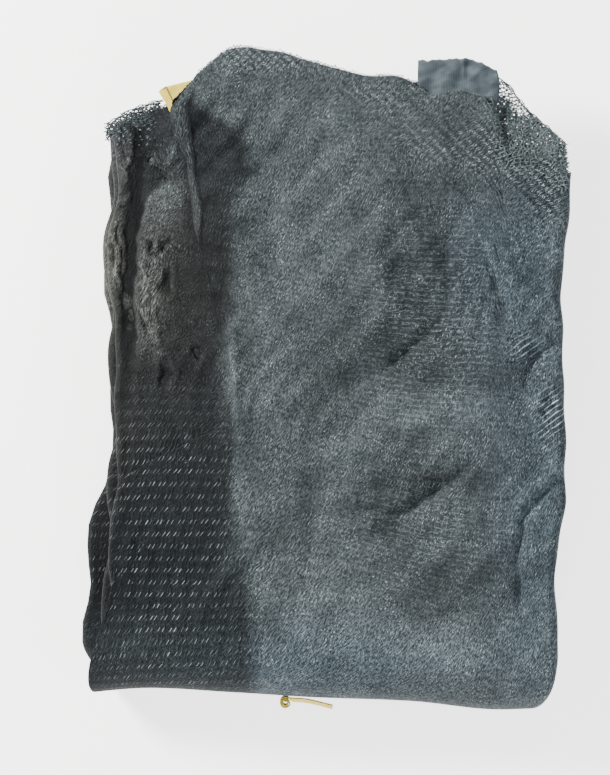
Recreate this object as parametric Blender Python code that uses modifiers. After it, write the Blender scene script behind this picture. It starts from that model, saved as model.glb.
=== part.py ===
# Trampoline safety net, folded for storage.
#
# The net is one knitted cloth. It is folded back and forth across its width, and then
# folded in half over its lower end, so the layers stand open at the upper end and run
# round a smooth bend at the lower one. A woven heading band and the ends of two yellow
# webbings show at its edges.
#
# Units are metres, Z is up, and the bundle lies flat on Z = 0. X runs across the bundle
# and Y along it, from the smooth bend to the open ends.

import math

import bmesh
import bpy
import numpy as np

# Driving sizes
CLOTH_THICKNESS = 0.0030  # one modelled layer, which stands for a pack of thin plies
WEBBING_THICKNESS = 0.0012
BAND_THICKNESS = 0.0015
TOUCH_GAP = 0.0003  # between pieces that lie against each other
BUNDLE_SHIFT = (-0.0022, 0.0021)  # brings the middle of the outline to X = 0, Y = 0

# Each layer of one half of the bundle, from the outside in. rise is its height above
# the plane between the two halves. upper_cut and lower_cut say how far its open end
# stops short of the outline in the upper and in the lower half. fold_side is the side
# on which it turns into the next layer.
LAYER_COLUMNS = ("rise", "upper_cut", "lower_cut", "fold_side")
LAYERS = (
    (0.0356, 0.000, 0.009, "right"),
    (0.0276, 0.000, 0.004, "left"),
    (0.0215, 0.003, 0.010, "right"),
    (0.0154, 0.008, 0.006, "left"),
    (0.0093, 0.005, 0.012, "right"),
    (0.0032, 0.012, 0.008, None),
)

# Each fold at the sides, from the outside in. The insets say how far it stays inside
# the outline in the upper and lower half, and wave, length and phase are its ripple.
FOLD_COLUMNS = ("upper_inset", "lower_inset", "wave", "length", "phase")
FOLDS = (
    (0.0000, 0.0030, 0.0012, 0.170, 0.4),
    (0.0035, 0.0045, 0.0022, 0.105, 1.9),
    (0.0050, 0.0010, 0.0016, 0.130, 3.1),
    (0.0000, 0.0000, 0.0026, 0.088, 0.2),
    (0.0025, 0.0060, 0.0014, 0.150, 4.4),
)

# The outline across the bundle, for places along it.
SIDE_COLUMNS = ("y", "left_upper", "left_lower", "right")
SIDES = (
    (-0.250, -0.161, -0.163, 0.167),
    (-0.236, -0.166, -0.173, 0.176),
    (-0.210, -0.167, -0.177, 0.179),
    (-0.165, -0.165, -0.176, 0.176),
    (-0.127, -0.164, -0.177, 0.176),
    (-0.088, -0.162, -0.166, 0.183),
    (-0.044, -0.160, -0.163, 0.180),
    (0.040, -0.162, -0.164, 0.175),
    (0.098, -0.172, -0.174, 0.176),
    (0.150, -0.169, -0.171, 0.178),
    (0.185, -0.171, -0.170, 0.177),
    (0.250, -0.171, -0.170, 0.176),
)

# The free edge of the outermost layer in the upper half. It comes down from the cut
# corner of the flap, and turns out to the left side below the middle.
FLAP_COLUMNS = ("y", "x")
FLAP = (
    (-0.250, -0.150),
    (-0.160, -0.153),
    (-0.098, -0.154),
    (-0.080, -0.149),
    (-0.066, -0.130),
    (-0.052, -0.102),
    (-0.038, -0.079),
    (-0.024, -0.070),
    (0.004, -0.076),
    (0.041, -0.086),
    (0.098, -0.100),
    (0.150, -0.106),
    (0.185, -0.116),
    (0.205, -0.119),
    (0.250, -0.119),
)

# The open ends along the bundle, for places across it: the outermost layer, the one
# under it, and the rest. The right corner of the second layer stands out alone.
END_COLUMNS = ("x", "flap", "second", "rest")
ENDS = (
    (-0.171, 0.199, 0.189, 0.187),
    (-0.160, 0.199, 0.195, 0.191),
    (-0.140, 0.199, 0.203, 0.195),
    (-0.119, 0.200, 0.207, 0.200),
    (-0.109, 0.219, 0.209, 0.202),
    (-0.098, 0.233, 0.210, 0.203),
    (-0.085, 0.244, 0.212, 0.205),
    (-0.055, 0.245, 0.215, 0.208),
    (-0.018, 0.239, 0.219, 0.210),
    (0.022, 0.227, 0.226, 0.210),
    (0.050, 0.228, 0.230, 0.210),
    (0.068, 0.215, 0.230, 0.208),
    (0.098, 0.216, 0.227, 0.206),
    (0.114, 0.208, 0.224, 0.196),
    (0.127, 0.176, 0.217, 0.168),
    (0.142, 0.169, 0.204, 0.160),
    (0.160, 0.167, 0.190, 0.157),
    (0.174, 0.160, 0.181, 0.150),
)

# The lower end of the bundle, at the outside of its bend, for places across it.
BOTTOM_COLUMNS = ("x", "y")
BOTTOM = (
    (-0.170, -0.2450),
    (-0.130, -0.2400),
    (-0.060, -0.2407),
    (0.000, -0.2425),
    (0.080, -0.2432),
    (0.150, -0.2475),
    (0.175, -0.2460),
)

# Where the bundle stands lower than its full height: drop is the share it loses, and it
# comes on smoothly from start to end, measured as each row says.
DROP_COLUMNS = ("name", "drop", "start", "end")
DROPS = (
    ("left_side", 0.05, 0.055, 0.000),  # distance from the left outline
    ("right_side", 0.06, 0.060, 0.000),  # distance from the right outline
    ("beside_flap", 0.09, 0.014, -0.022),  # distance right of the flap's edge
    ("open_end", 0.10, 0.120, 0.250),  # Y
    ("thin_corner", 0.12, 0.110, 0.175),  # X, near the open end only
)
FLAP_STEP_START, FLAP_STEP_END = -0.090, 0.000  # Y over which the step beside the flap grows
THIN_CORNER_START, THIN_CORNER_END = 0.150, 0.205  # Y over which the thin corner droops
FLAP_TURN_Y = -0.024  # where the flap's edge turns towards the left side

# Soft rounded places on the top. Positive ones rise and negative ones sink, as a share
# of the full height, or in metres where only the outermost layer is propped up.
MOUND_COLUMNS = ("x", "y", "width", "length", "rise")
HOLLOW = (0.025, -0.065, 0.060, 0.075, -0.035)
PROPS = (
    (-0.112, 0.212, 0.034, 0.036, 0.0022),  # over the yellow webbing
    (0.090, 0.222, 0.050, 0.030, 0.0012),  # over the heading band
)
SWELL = 0.014  # share of the height in the gentle waves all over the top
SWELL_WIDTH, SWELL_LENGTH, SWELL_SWAY = 0.037, 0.058, 0.090

# Small wanderings of edges that nothing else sets
END_RAGGED, END_RAGGED_LENGTH = 0.0018, 0.019
HIDDEN_EDGE_INSET, HIDDEN_EDGE_WAVE, HIDDEN_EDGE_LENGTH = 0.016, 0.003, 0.030
UNDER_EDGE_INSET, UNDER_EDGE_WAVE, UNDER_EDGE_LENGTH = 0.009, 0.002, 0.024
NEAR_BOTTOM_Y, NEAR_END_Y = -0.200, 0.200  # where a strip's bend and its end are looked up

# Steps of the net's grid. The upper half's rows lie closer where the flap's edge turns.
LOWER_STEPS = 8
BEND_STEPS = 6
UPPER_ROWS = (
    0.0, 0.07, 0.14, 0.21, 0.27, 0.308, 0.338, 0.368, 0.398, 0.43, 0.50, 0.585, 0.68, 0.775,
    0.86, 0.935, 1.0,
)
FOLD_STEPS = 4
FLAP_FIRST_STATION = 3  # the row of ENDS at the outermost layer's free edge
REST_STATIONS = (0, 2, 3, 5, 7, 9, 11, 13, 14, 17)  # rows of ENDS that hidden layers use

# The yellow webbing at the left of the open end, folded over at its tip
WEBBING_WIDTH = 0.0250
WEBBING_TIP = (-0.1198, 0.2168)  # middle of the fold at its tip
WEBBING_TURN = math.radians(-22.0)  # turns its length away from the Y axis
WEBBING_LENGTH = 0.040
WEBBING_SKEW = 0.0048  # the upper ply lies this far to the right of the lower one
WEBBING_PLY_GAP = 0.0010

# The dark heading band at the right of the open end, folded under at its right
BAND_LEFT = 0.060
BAND_RIGHT = 0.1245
BAND_BOTTOM = 0.2040
BAND_TOP = 0.2418
BAND_CORNER = 0.0190  # how far its fold leans back towards its upper corner
BAND_UNDER = 0.016  # how much further left its upper ply reaches
BAND_PLY_GAP = 0.0009

# The short yellow webbing on the bend, with its left end curled up
CURL_RADIUS = 0.0030  # middle of the webbing's thickness
CURL_TURN = math.radians(305.0)
CURL_X = -0.0257
CURL_WEBBING_WIDTH = 0.0140
CURL_WEBBING_END = 0.0115
CURL_FLARE = 0.0048  # how far its right end stands off the bend


def column(table, columns, name):
    # One named column of a table, as an array.
    return np.array([row[columns.index(name)] for row in table])


def smooth_lookup(table, columns, key, name, at):
    # The value of a named column at the places in at, on a smooth curve through the
    # table's rows: each stretch is a cubic whose slopes come from the rows around it.
    keys = column(table, columns, key)
    values = column(table, columns, name)
    slopes = np.gradient(values, keys)
    at = np.clip(at, keys[0], keys[-1])
    row = np.clip(np.searchsorted(keys, at) - 1, 0, len(keys) - 2)
    span = keys[row + 1] - keys[row]
    t = (at - keys[row]) / span
    start = values[row] * (1 + 2 * t) * (1 - t) ** 2 + values[row + 1] * t * t * (3 - 2 * t)
    bend = slopes[row] * span * t * (1 - t) ** 2 - slopes[row + 1] * span * t * t * (1 - t)
    return start + bend


def side(name, y):
    return smooth_lookup(SIDES, SIDE_COLUMNS, "y", name, y)


def ease(value, low, high):
    # Runs smoothly from 0 at low to 1 at high, either of which may be the larger.
    t = np.clip((value - low) / (high - low), 0.0, 1.0)
    return t * t * (3 - 2 * t)


RISES = column(LAYERS, LAYER_COLUMNS, "rise")
MIDDLE_HEIGHT = RISES[0] + CLOTH_THICKNESS / 2
LOWEST = CLOTH_THICKNESS / 2
LAST_LAYER = len(LAYERS) - 1


def drop(name, distance):
    # The share of the height lost at a place, from a named row of DROPS.
    row = dict(zip(DROP_COLUMNS, next(row for row in DROPS if row[0] == name)))
    return row["drop"] * ease(distance, row["start"], row["end"])


def mound(row, x, y):
    # A round place that falls off as a bell curve, wider one way than the other.
    place = dict(zip(MOUND_COLUMNS, row))
    across_share = (x - place["x"]) / place["width"]
    along_share = (y - place["y"]) / place["length"]
    return place["rise"] * np.exp(-(across_share**2) - along_share**2)


def fullness(x, y):
    # How high the bundle stands at a place, as a share of its full height. It is
    # crowned, thinner at its open ends, and a soft step lower left of the flap's edge.
    sides = drop("left_side", x - side("left_upper", y))
    sides = sides + drop("right_side", side("right", y) - x)
    flap_x = smooth_lookup(FLAP, FLAP_COLUMNS, "y", "x", np.maximum(y, FLAP_TURN_Y))
    step = drop("beside_flap", x - flap_x) * ease(y, FLAP_STEP_START, FLAP_STEP_END)
    corner = drop("thin_corner", x) * ease(y, THIN_CORNER_START, THIN_CORNER_END)
    sway = np.sin(y / SWELL_SWAY)
    swell = SWELL * np.sin(x / SWELL_WIDTH + sway) * np.sin(y / SWELL_LENGTH + 1)
    return 1.0 - sides - step - drop("open_end", y) - corner + mound(HOLLOW, x, y) + swell


def height(rise, x, y):
    # Height of the middle of a layer's thickness. rise is negative in the lower half.
    full = MIDDLE_HEIGHT + rise
    propped = sum(mound(row, x, y) for row in PROPS) * ease(rise, RISES[1], RISES[0])
    return LOWEST + (full - LOWEST) * fullness(x, y) + propped


def bottom_y(x):
    # Middle line of the bend at the lower end, from the outline at its outside.
    outside = smooth_lookup(BOTTOM, BOTTOM_COLUMNS, "x", "y", x)
    return outside + RISES[0] + CLOTH_THICKNESS / 2


def fold_x(fold, upper, y):
    # Where a side fold turns. upper runs from 0 in the lower half to 1 in the upper.
    row = dict(zip(FOLD_COLUMNS, FOLDS[fold]))
    inset = row["lower_inset"] * (1 - upper) + row["upper_inset"] * upper
    ripple = row["wave"] * (1 + np.sin(2 * math.pi * y / row["length"] + row["phase"] - 2 * upper))
    reach = (RISES[fold] - RISES[fold + 1] + CLOTH_THICKNESS) / 2
    if LAYERS[fold][LAYER_COLUMNS.index("fold_side")] == "right":
        return side("right", y) - inset - ripple - reach
    outline = side("left_lower", y) * (1 - upper) + side("left_upper", y) * upper
    return outline + inset + ripple + reach


def free_edge_x(layer, upper, y):
    # Left edge of the outermost layer, or of the innermost one, which nothing shows. In
    # the lower half the outermost layer reaches the left side all along.
    if layer == 0:
        flap = smooth_lookup(FLAP, FLAP_COLUMNS, "y", "x", y)
        wave = UNDER_EDGE_WAVE * np.sin(y / UNDER_EDGE_LENGTH)
        below = side("left_lower", y) + UNDER_EDGE_INSET + wave
        return below * (1 - upper) + flap * upper
    wave = HIDDEN_EDGE_WAVE * np.sin(y / HIDDEN_EDGE_LENGTH)
    return side("left_upper", y) + HIDDEN_EDGE_INSET + wave


def run_limits(layer, upper, y):
    # Left and right end of the nearly flat run of a layer.
    inward = fold_x(layer, upper, y) if layer < LAST_LAYER else free_edge_x(layer, upper, y)
    outward = fold_x(layer - 1, upper, y) if layer > 0 else free_edge_x(layer, upper, y)
    if LAYERS[layer][LAYER_COLUMNS.index("fold_side")] == "right":
        return outward, inward
    return inward, outward


def end_y(layer, upper, x):
    # Where a layer's open end lies.
    row = dict(zip(LAYER_COLUMNS, LAYERS[layer]))
    rest = smooth_lookup(ENDS, END_COLUMNS, "x", "rest", x)
    ragged = END_RAGGED * np.sin(x / END_RAGGED_LENGTH + 2 * layer + 3 * upper)
    if upper == 0:
        return rest - row["lower_cut"] + ragged
    if layer == 0:
        return smooth_lookup(ENDS, END_COLUMNS, "x", "flap", x)
    if layer == 1:
        return smooth_lookup(ENDS, END_COLUMNS, "x", "second", x)
    return rest - row["upper_cut"] + ragged


def section_stations():
    # The places across the net's width, in order: each layer's run, and the turn into
    # the next layer. A station is (layer, share of the run, share of the turn).
    table_x = column(ENDS, END_COLUMNS, "x")
    stations = []
    for layer in range(len(LAYERS)):
        if layer == 0:
            places = table_x[FLAP_FIRST_STATION:]
        elif layer == 1:
            places = table_x
        else:
            places = table_x[list(REST_STATIONS)]
        shares = (places - places[0]) / (places[-1] - places[0])
        if layer % 2 == 1:
            shares = shares[::-1]
        stations += [(layer, share, 0.0) for share in shares]
        if layer < LAST_LAYER:
            stations += [(layer, None, step / FOLD_STEPS) for step in range(1, FOLD_STEPS)]
    return stations


def across(station, upper, y):
    # X and rise of a station, at the places y along the bundle.
    layer, share, turn = station
    if share is not None:
        left, right = run_limits(layer, upper, y)
        return left + (right - left) * share, np.full_like(y, RISES[layer])
    angle = math.pi * turn
    radius = (RISES[layer] - RISES[layer + 1]) / 2
    rise = RISES[layer + 1] + radius * (1 + math.cos(angle))
    out = 1.0 if LAYERS[layer][LAYER_COLUMNS.index("fold_side")] == "right" else -1.0
    return fold_x(layer, upper, y) + out * radius * math.sin(angle), np.full_like(y, rise)


def station_end(station, upper):
    # Where a station's strip of cloth ends, in the upper (1) or lower (0) half.
    layer, share, turn = station
    x, _ = across(station, upper, np.array([NEAR_END_Y]))
    if share is not None:
        return end_y(layer, upper, x)
    mix = (1 - math.cos(math.pi * turn)) / 2
    return end_y(layer, upper, x) * (1 - mix) + end_y(layer + 1, upper, x) * mix


def net_points():
    # The middle of the cloth's thickness on a grid: rows run along the bundle, up from
    # the lower half's open end, round the bend and back to the upper half's open end.
    stations = section_stations()
    low = 1 - np.linspace(0.0, 1.0, LOWER_STEPS + 1)
    high = np.array(UPPER_ROWS)
    bend = np.linspace(0.0, math.pi, BEND_STEPS + 1)[1:-1]
    points = np.zeros((len(low) + len(bend) + len(high), len(stations), 3))
    for index, station in enumerate(stations):
        x_at_bottom, rise = across(station, 1, np.array([NEAR_BOTTOM_Y]))
        middle = bottom_y(x_at_bottom)[0]
        y_low = middle + (station_end(station, 0)[0] - middle) * low
        y_bend = middle - rise[0] * np.sin(bend)
        y_high = middle + (station_end(station, 1)[0] - middle) * high
        y = np.concatenate([y_low, y_bend, y_high])
        turned = np.concatenate([np.zeros_like(low), bend, np.full_like(high, math.pi)])
        upper = (1 - np.cos(turned)) / 2
        x_low, _ = across(station, 0, y)
        x_high, _ = across(station, 1, y)
        x = x_low * (1 - upper) + x_high * upper
        z = height(-rise[0] * np.cos(turned), x, y)
        points[:, index] = np.stack([x, y, z], axis=1)
    return points


def material(name, color, roughness):
    made = bpy.data.materials.new(name)
    made.use_nodes = True
    shader = made.node_tree.nodes["Principled BSDF"]
    shader.inputs["Base Color"].default_value = (*color, 1.0)
    shader.inputs["Roughness"].default_value = roughness
    shader.inputs["Metallic"].default_value = 0.0
    return made


def sheet_object(name, points, thickness, finish, collection):
    # A grid bent to the given points, rows by columns, and thickened both ways.
    rows, columns = points.shape[:2]
    mesh = bpy.data.meshes.new(name)
    bm = bmesh.new()
    bmesh.ops.create_grid(bm, x_segments=columns - 1, y_segments=rows - 1, size=1.0)
    for vert in bm.verts:
        i = round((vert.co.x + 1) / 2 * (columns - 1))
        j = round((vert.co.y + 1) / 2 * (rows - 1))
        x, y, z = points[j, i]
        vert.co = (x + BUNDLE_SHIFT[0], y + BUNDLE_SHIFT[1], z)
    bmesh.ops.recalc_face_normals(bm, faces=bm.faces)
    bm.to_mesh(mesh)
    bm.free()
    mesh.shade_smooth()
    mesh.materials.append(finish)
    made = bpy.data.objects.new(name, mesh)
    collection.objects.link(made)
    solid = made.modifiers.new("Thickness", "SOLIDIFY")
    solid.thickness = thickness
    solid.offset = 0.0
    solid.use_even_offset = True
    return made


def webbing_end_points():
    # A strip that runs up to its tip as the lower ply and back as the upper one. It
    # rests on the net's second layer, and follows that layer's slope.
    radius = (WEBBING_THICKNESS + WEBBING_PLY_GAP) / 2
    straight = np.linspace(WEBBING_LENGTH, 0.0, 7)
    arc = np.linspace(0.0, math.pi, 5)[1:-1]
    along = np.concatenate([straight, -radius * np.sin(arc), straight[::-1]])
    turned = np.concatenate([0 * straight, arc, 0 * straight + math.pi])
    upper = (1 - np.cos(turned)) / 2
    rise = TOUCH_GAP + WEBBING_THICKNESS / 2 + 2 * radius * upper
    points = np.zeros((len(along), 5, 3))
    for index, share in enumerate(np.linspace(-0.5, 0.5, 5)):
        wide = share * WEBBING_WIDTH + WEBBING_SKEW * (upper - 0.5)
        x = WEBBING_TIP[0] + wide * math.cos(WEBBING_TURN) - along * math.sin(WEBBING_TURN)
        y = WEBBING_TIP[1] - wide * math.sin(WEBBING_TURN) - along * math.cos(WEBBING_TURN)
        under = height(np.full_like(x, RISES[1]), x, y) + CLOTH_THICKNESS / 2
        points[:, index] = np.stack([x, y, under + rise], axis=1)
    return points


def heading_band_points():
    # A band whose end is folded under at its right. Its fold leans back towards the
    # upper corner, and it rests on the net's second layer.
    radius = (BAND_THICKNESS + BAND_PLY_GAP) / 2
    arc = np.linspace(0.0, math.pi, 5)[1:-1]
    straight = np.linspace(0.0, 1.0, 6)
    turned = np.concatenate([0 * straight, arc, 0 * straight + math.pi])
    upper = (1 - np.cos(turned)) / 2
    rise = TOUCH_GAP + BAND_THICKNESS / 2 + 2 * radius * upper
    points = np.zeros((len(turned), 7, 3))
    for index, share in enumerate(np.linspace(0.0, 1.0, 7)):
        fold = BAND_RIGHT - radius - BAND_CORNER * share**2.4
        low = BAND_LEFT + BAND_UNDER + (fold - BAND_LEFT - BAND_UNDER) * straight
        high = BAND_LEFT + (fold - BAND_LEFT) * straight[::-1]
        x = np.concatenate([low, fold + radius * np.sin(arc), high])
        y = BAND_BOTTOM + (BAND_TOP - BAND_BOTTOM) * share + 0.0012 * np.sin(x / 0.013)
        under = height(np.full_like(x, RISES[1]), x, y) + CLOTH_THICKNESS / 2
        points[:, index] = np.stack([x, y, under + rise], axis=1)
    return points


def webbing_curl_points():
    # A strip on edge against the outside of the bend. Its left end is curled away from
    # the net, and its right end stands off a little.
    off = TOUCH_GAP + WEBBING_THICKNESS / 2
    angles = np.linspace(CURL_TURN, 0.0, 13)
    curl_x = CURL_X - CURL_RADIUS * np.sin(angles)
    curl_out = CURL_RADIUS * (1 - np.cos(angles))
    straight_x = np.linspace(CURL_X, CURL_WEBBING_END, 9)[1:]
    flare = CURL_FLARE * ease(straight_x, CURL_X + 0.012, CURL_WEBBING_END + 0.010)
    x = np.concatenate([curl_x, straight_x])
    out = np.concatenate([curl_out, flare])
    near_x = np.maximum(x, CURL_X)
    face_y = bottom_y(near_x) - RISES[0] - CLOTH_THICKNESS / 2
    middle_z = height(np.zeros_like(x), near_x, face_y)
    points = np.zeros((len(x), 4, 3))
    for index, share in enumerate(np.linspace(-0.5, 0.5, 4)):
        z = middle_z + share * CURL_WEBBING_WIDTH
        points[:, index] = np.stack([x, face_y - off - out, z], axis=1)
    return points


def build():
    for old in list(bpy.data.objects):
        bpy.data.objects.remove(old)
    collection = bpy.data.collections.new("trampoline_safety_net")
    bpy.context.scene.collection.children.link(collection)

    knit = material("knitted_net", (0.026, 0.031, 0.034), 0.78)
    woven = material("woven_band", (0.022, 0.028, 0.036), 0.70)
    yellow = material("yellow_webbing", (0.60, 0.45, 0.13), 0.65)
    yellow_curl = material("yellow_webbing_curl", (0.66, 0.50, 0.15), 0.62)

    sheet_object("net", net_points(), CLOTH_THICKNESS, knit, collection)
    sheet_object("heading_band", heading_band_points(), BAND_THICKNESS, woven, collection)
    sheet_object("webbing_end", webbing_end_points(), WEBBING_THICKNESS, yellow, collection)
    sheet_object("webbing_curl", webbing_curl_points(), WEBBING_THICKNESS, yellow_curl, collection)


build()
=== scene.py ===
# Folded trampoline safety net, dressed for its picture. The knitted cloth lies in its
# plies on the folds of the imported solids, with a dark heading band and two ends of
# yellow webbing at its edges. Lengths are metres and Z is up.

import itertools
import math

import bpy
import numpy as np
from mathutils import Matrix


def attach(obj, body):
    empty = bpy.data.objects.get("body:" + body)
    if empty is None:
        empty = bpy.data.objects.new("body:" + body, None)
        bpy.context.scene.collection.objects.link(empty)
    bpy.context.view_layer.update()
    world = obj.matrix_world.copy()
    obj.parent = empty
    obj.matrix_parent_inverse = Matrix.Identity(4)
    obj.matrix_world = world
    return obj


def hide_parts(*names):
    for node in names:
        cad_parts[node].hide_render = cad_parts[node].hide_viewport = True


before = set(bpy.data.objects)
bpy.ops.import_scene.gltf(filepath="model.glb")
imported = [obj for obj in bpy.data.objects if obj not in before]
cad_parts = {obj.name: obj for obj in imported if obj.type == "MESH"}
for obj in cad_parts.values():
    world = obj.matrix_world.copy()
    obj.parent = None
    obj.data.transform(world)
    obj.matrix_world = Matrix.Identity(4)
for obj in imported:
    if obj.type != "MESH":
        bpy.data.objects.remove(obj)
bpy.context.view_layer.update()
print("packed solids loaded:", ", ".join(sorted(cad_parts)))

# The bundle's folding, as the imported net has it. Each layer stands for a pack of plies.
bundle = {
    "shift": (-0.0022, 0.0021),
    "layerThickness": 0.003,
    "rise": [0.0356, 0.0276, 0.0215, 0.0154, 0.0093, 0.0032],
    "upperCut": [0.0, 0.0, 0.003, 0.008, 0.005, 0.012],
    "lowerCut": [0.009, 0.004, 0.01, 0.006, 0.012, 0.008],
    "foldSide": [1, -1, 1, -1, 1],  # 1 turns at the right, -1 at the left
    "upperInset": [0.0, 0.0035, 0.005, 0.0, 0.0025],
    "lowerInset": [0.003, 0.0045, 0.001, 0.0, 0.006],
    "wave": [0.0012, 0.0022, 0.0016, 0.0026, 0.0014],
    "waveLength": [0.17, 0.105, 0.13, 0.088, 0.15],
    "wavePhase": [0.4, 1.9, 3.1, 0.2, 4.4],
    "outward": [0.00125, 0.0012, 0.0021, 0.0021, 0.0021, 0.0021],  # outermost ply off its layer's middle
    "inward": [0.0029, 0.0021, 0.0021, 0.0021, 0.0021, 0.0016],
    "nearBottom": -0.2,
    "nearEnd": 0.2,
}
outline = {
    "sides": {
        "y": [-0.25, -0.236, -0.21, -0.165, -0.127, -0.088, -0.044, 0.04, 0.098, 0.15, 0.185, 0.25],
        "leftUpper": [
            -0.161, -0.166, -0.167, -0.165, -0.164, -0.164, -0.163, -0.169, -0.173, -0.17, -0.171,
            -0.171,
        ],
        "leftLower": [
            -0.17, -0.178, -0.181, -0.18, -0.181, -0.17, -0.165, -0.17, -0.174, -0.171, -0.17, -0.17,
        ],
        "right": [0.167, 0.176, 0.179, 0.176, 0.176, 0.183, 0.18, 0.175, 0.176, 0.178, 0.177, 0.176],
    },
    "flapEdge": {
        "y": [
            -0.25, -0.236, -0.218, -0.19, -0.16, -0.098, -0.08, -0.066, -0.052, -0.038, -0.024, 0.004,
            0.041, 0.093, 0.106, 0.129, 0.147, 0.163, 0.172, 0.184, 0.198, 0.21, 0.25,
        ],
        "x": [
            -0.176, -0.175, -0.172, -0.164, -0.157, -0.154, -0.149, -0.13, -0.102, -0.079, -0.07, -0.076,
            -0.086, -0.0985, -0.1028, -0.1065, -0.1095, -0.1125, -0.118, -0.1222, -0.1234, -0.115,
            -0.111,
        ],
    },
    "ends": {
        "x": [
            -0.171, -0.16, -0.14, -0.119, -0.109, -0.098, -0.085, -0.055, -0.018, 0.022, 0.05, 0.068,
            0.098, 0.114, 0.127, 0.142, 0.16, 0.174,
        ],
        "flap": [
            0.199, 0.199, 0.199, 0.206, 0.22, 0.231, 0.243, 0.2432, 0.237, 0.226, 0.227, 0.215, 0.216,
            0.208, 0.176, 0.169, 0.167, 0.16,
        ],
        "second": [
            0.187, 0.1945, 0.203, 0.2078, 0.21, 0.212, 0.212, 0.215, 0.219, 0.226, 0.23, 0.231, 0.231,
            0.231, 0.2258, 0.2085, 0.1935, 0.1812,
        ],
        "dense": [
            0.183, 0.189, 0.197, 0.203, 0.206, 0.208, 0.21, 0.213, 0.217, 0.222, 0.224, 0.224, 0.22,
            0.206, 0.173, 0.167, 0.164, 0.157,
        ],
        "rest": [
            0.187, 0.191, 0.195, 0.2, 0.202, 0.203, 0.205, 0.208, 0.21, 0.21, 0.21, 0.208, 0.206, 0.196,
            0.168, 0.16, 0.157, 0.15,
        ],
    },
    "bottom": {
        "x": [-0.17, -0.13, -0.06, 0.0, 0.08, 0.15, 0.175],
        "y": [-0.245, -0.24, -0.2407, -0.2425, -0.2432, -0.2475, -0.246],
    },
}
# Where the bundle stands lower, and the soft swells and hollows on its top.
surface = {
    "leftSide": (0.05, 0.055, 0.0),
    "rightSide": (0.06, 0.06, 0.0),
    "besideFlap": (0.09, 0.014, -0.022),
    "openEnd": (0.1, 0.12, 0.25),
    "thinCorner": (0.12, 0.11, 0.175),
    "flapStep": (-0.09, 0.0),
    "cornerStarts": (0.15, 0.205),
    "flapTurn": -0.024,
    "hollow": (0.025, -0.065, 0.06, 0.075, -0.035),
    "overWebbing": (-0.112, 0.212, 0.032, 0.034, 0.0034),
    "overBand": (0.09, 0.222, 0.05, 0.03, 0.0012),
    "swell": (0.014, 0.037, 0.058, 0.09),
    "lowCorner": (-0.178, -0.246, 0.034, 0.04, -0.16),
}
layerRise = np.array(bundle["rise"])
lowestMiddle = bundle["layerThickness"] / 2
planeHeight = layerRise[0] + lowestMiddle
lastLayer = len(layerRise) - 1


def ease(value, low, high):
    # 3tt - 2ttt, with t the share of the way from low to high
    t = np.clip((value - low) / (high - low), 0.0, 1.0)
    return t * t * (3 - 2 * t)


def lookUp(table, name, at):
    # A cubic between neighbouring rows of a table, with slopes taken from the rows around. The
    # table's first column says where its rows lie.
    keys, values = np.array(next(iter(table.values()))), np.array(table[name])
    slopes = np.gradient(values, keys)
    at = np.clip(at, keys[0], keys[-1])
    row = np.clip(np.searchsorted(keys, at) - 1, 0, len(keys) - 2)
    span = keys[row + 1] - keys[row]
    t = (at - keys[row]) / span
    start = values[row] * (1 + 2 * t) * (1 - t) ** 2 + values[row + 1] * t * t * (3 - 2 * t)
    return start + slopes[row] * span * t * (1 - t) ** 2 - slopes[row + 1] * span * t * t * (1 - t)


def sideX(name, y):
    # X of one of the bundle's sides
    return lookUp(outline["sides"], name, y)


def endY(name, x):
    # Y of one of the open ends
    return lookUp(outline["ends"], name, x)


def flapEdge(y):
    # X of the flap's free edge
    return lookUp(outline["flapEdge"], "x", y)


def bell(x, y, place):
    # height * exp(-(dx / width)^2 - (dy / length)^2)
    midX, midY, width, length, height = place
    return height * np.exp(-(((x - midX) / width) ** 2) - ((y - midY) / length) ** 2)


def nearLine(x, y, line):
    # Distance in mm to the nearest stretch of a line, x and y by turns, and the share of its
    # length there
    points = np.reshape(line, (-1, 2))
    x, y = x * 1000, y * 1000
    steps = np.linalg.norm(np.diff(points, axis=0), axis=1)
    before = np.concatenate([[0.0], np.cumsum(steps)])
    best, share = np.full(np.shape(x), 9e3), np.zeros(np.shape(x))
    for i, (a, b) in enumerate(zip(points[:-1], points[1:])):
        along = np.clip(((x - a[0]) * (b[0] - a[0]) + (y - a[1]) * (b[1] - a[1])) / steps[i] ** 2, 0, 1)
        away = np.hypot(x - a[0] - along * (b[0] - a[0]), y - a[1] - along * (b[1] - a[1]))
        share = np.where(away < best, (before[i] + along * steps[i]) / before[-1], share)
        best = np.minimum(best, away)
    return best, share


def fullness(x, y):
    # 1 less the drops at the sides, beside the flap and at the open ends, plus the swells
    def drop(name, distance):
        share, start, end = surface[name]
        return share * ease(distance, start, end)

    flapX = flapEdge(np.maximum(y, surface["flapTurn"]))
    lost = drop("leftSide", x - sideX("leftUpper", y))
    lost = lost + drop("rightSide", sideX("right", y) - x)
    lost = lost + drop("besideFlap", x - flapX) * ease(y, *surface["flapStep"])
    lost = lost + drop("openEnd", y) + drop("thinCorner", x) * ease(y, *surface["cornerStarts"])
    share, width, length, sway = surface["swell"]
    swell = share * np.sin(x / width + np.sin(y / sway)) * np.sin(y / length + 1)
    return 1.0 - lost + bell(x, y, surface["hollow"]) + bell(x, y, surface["lowCorner"]) + swell


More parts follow.
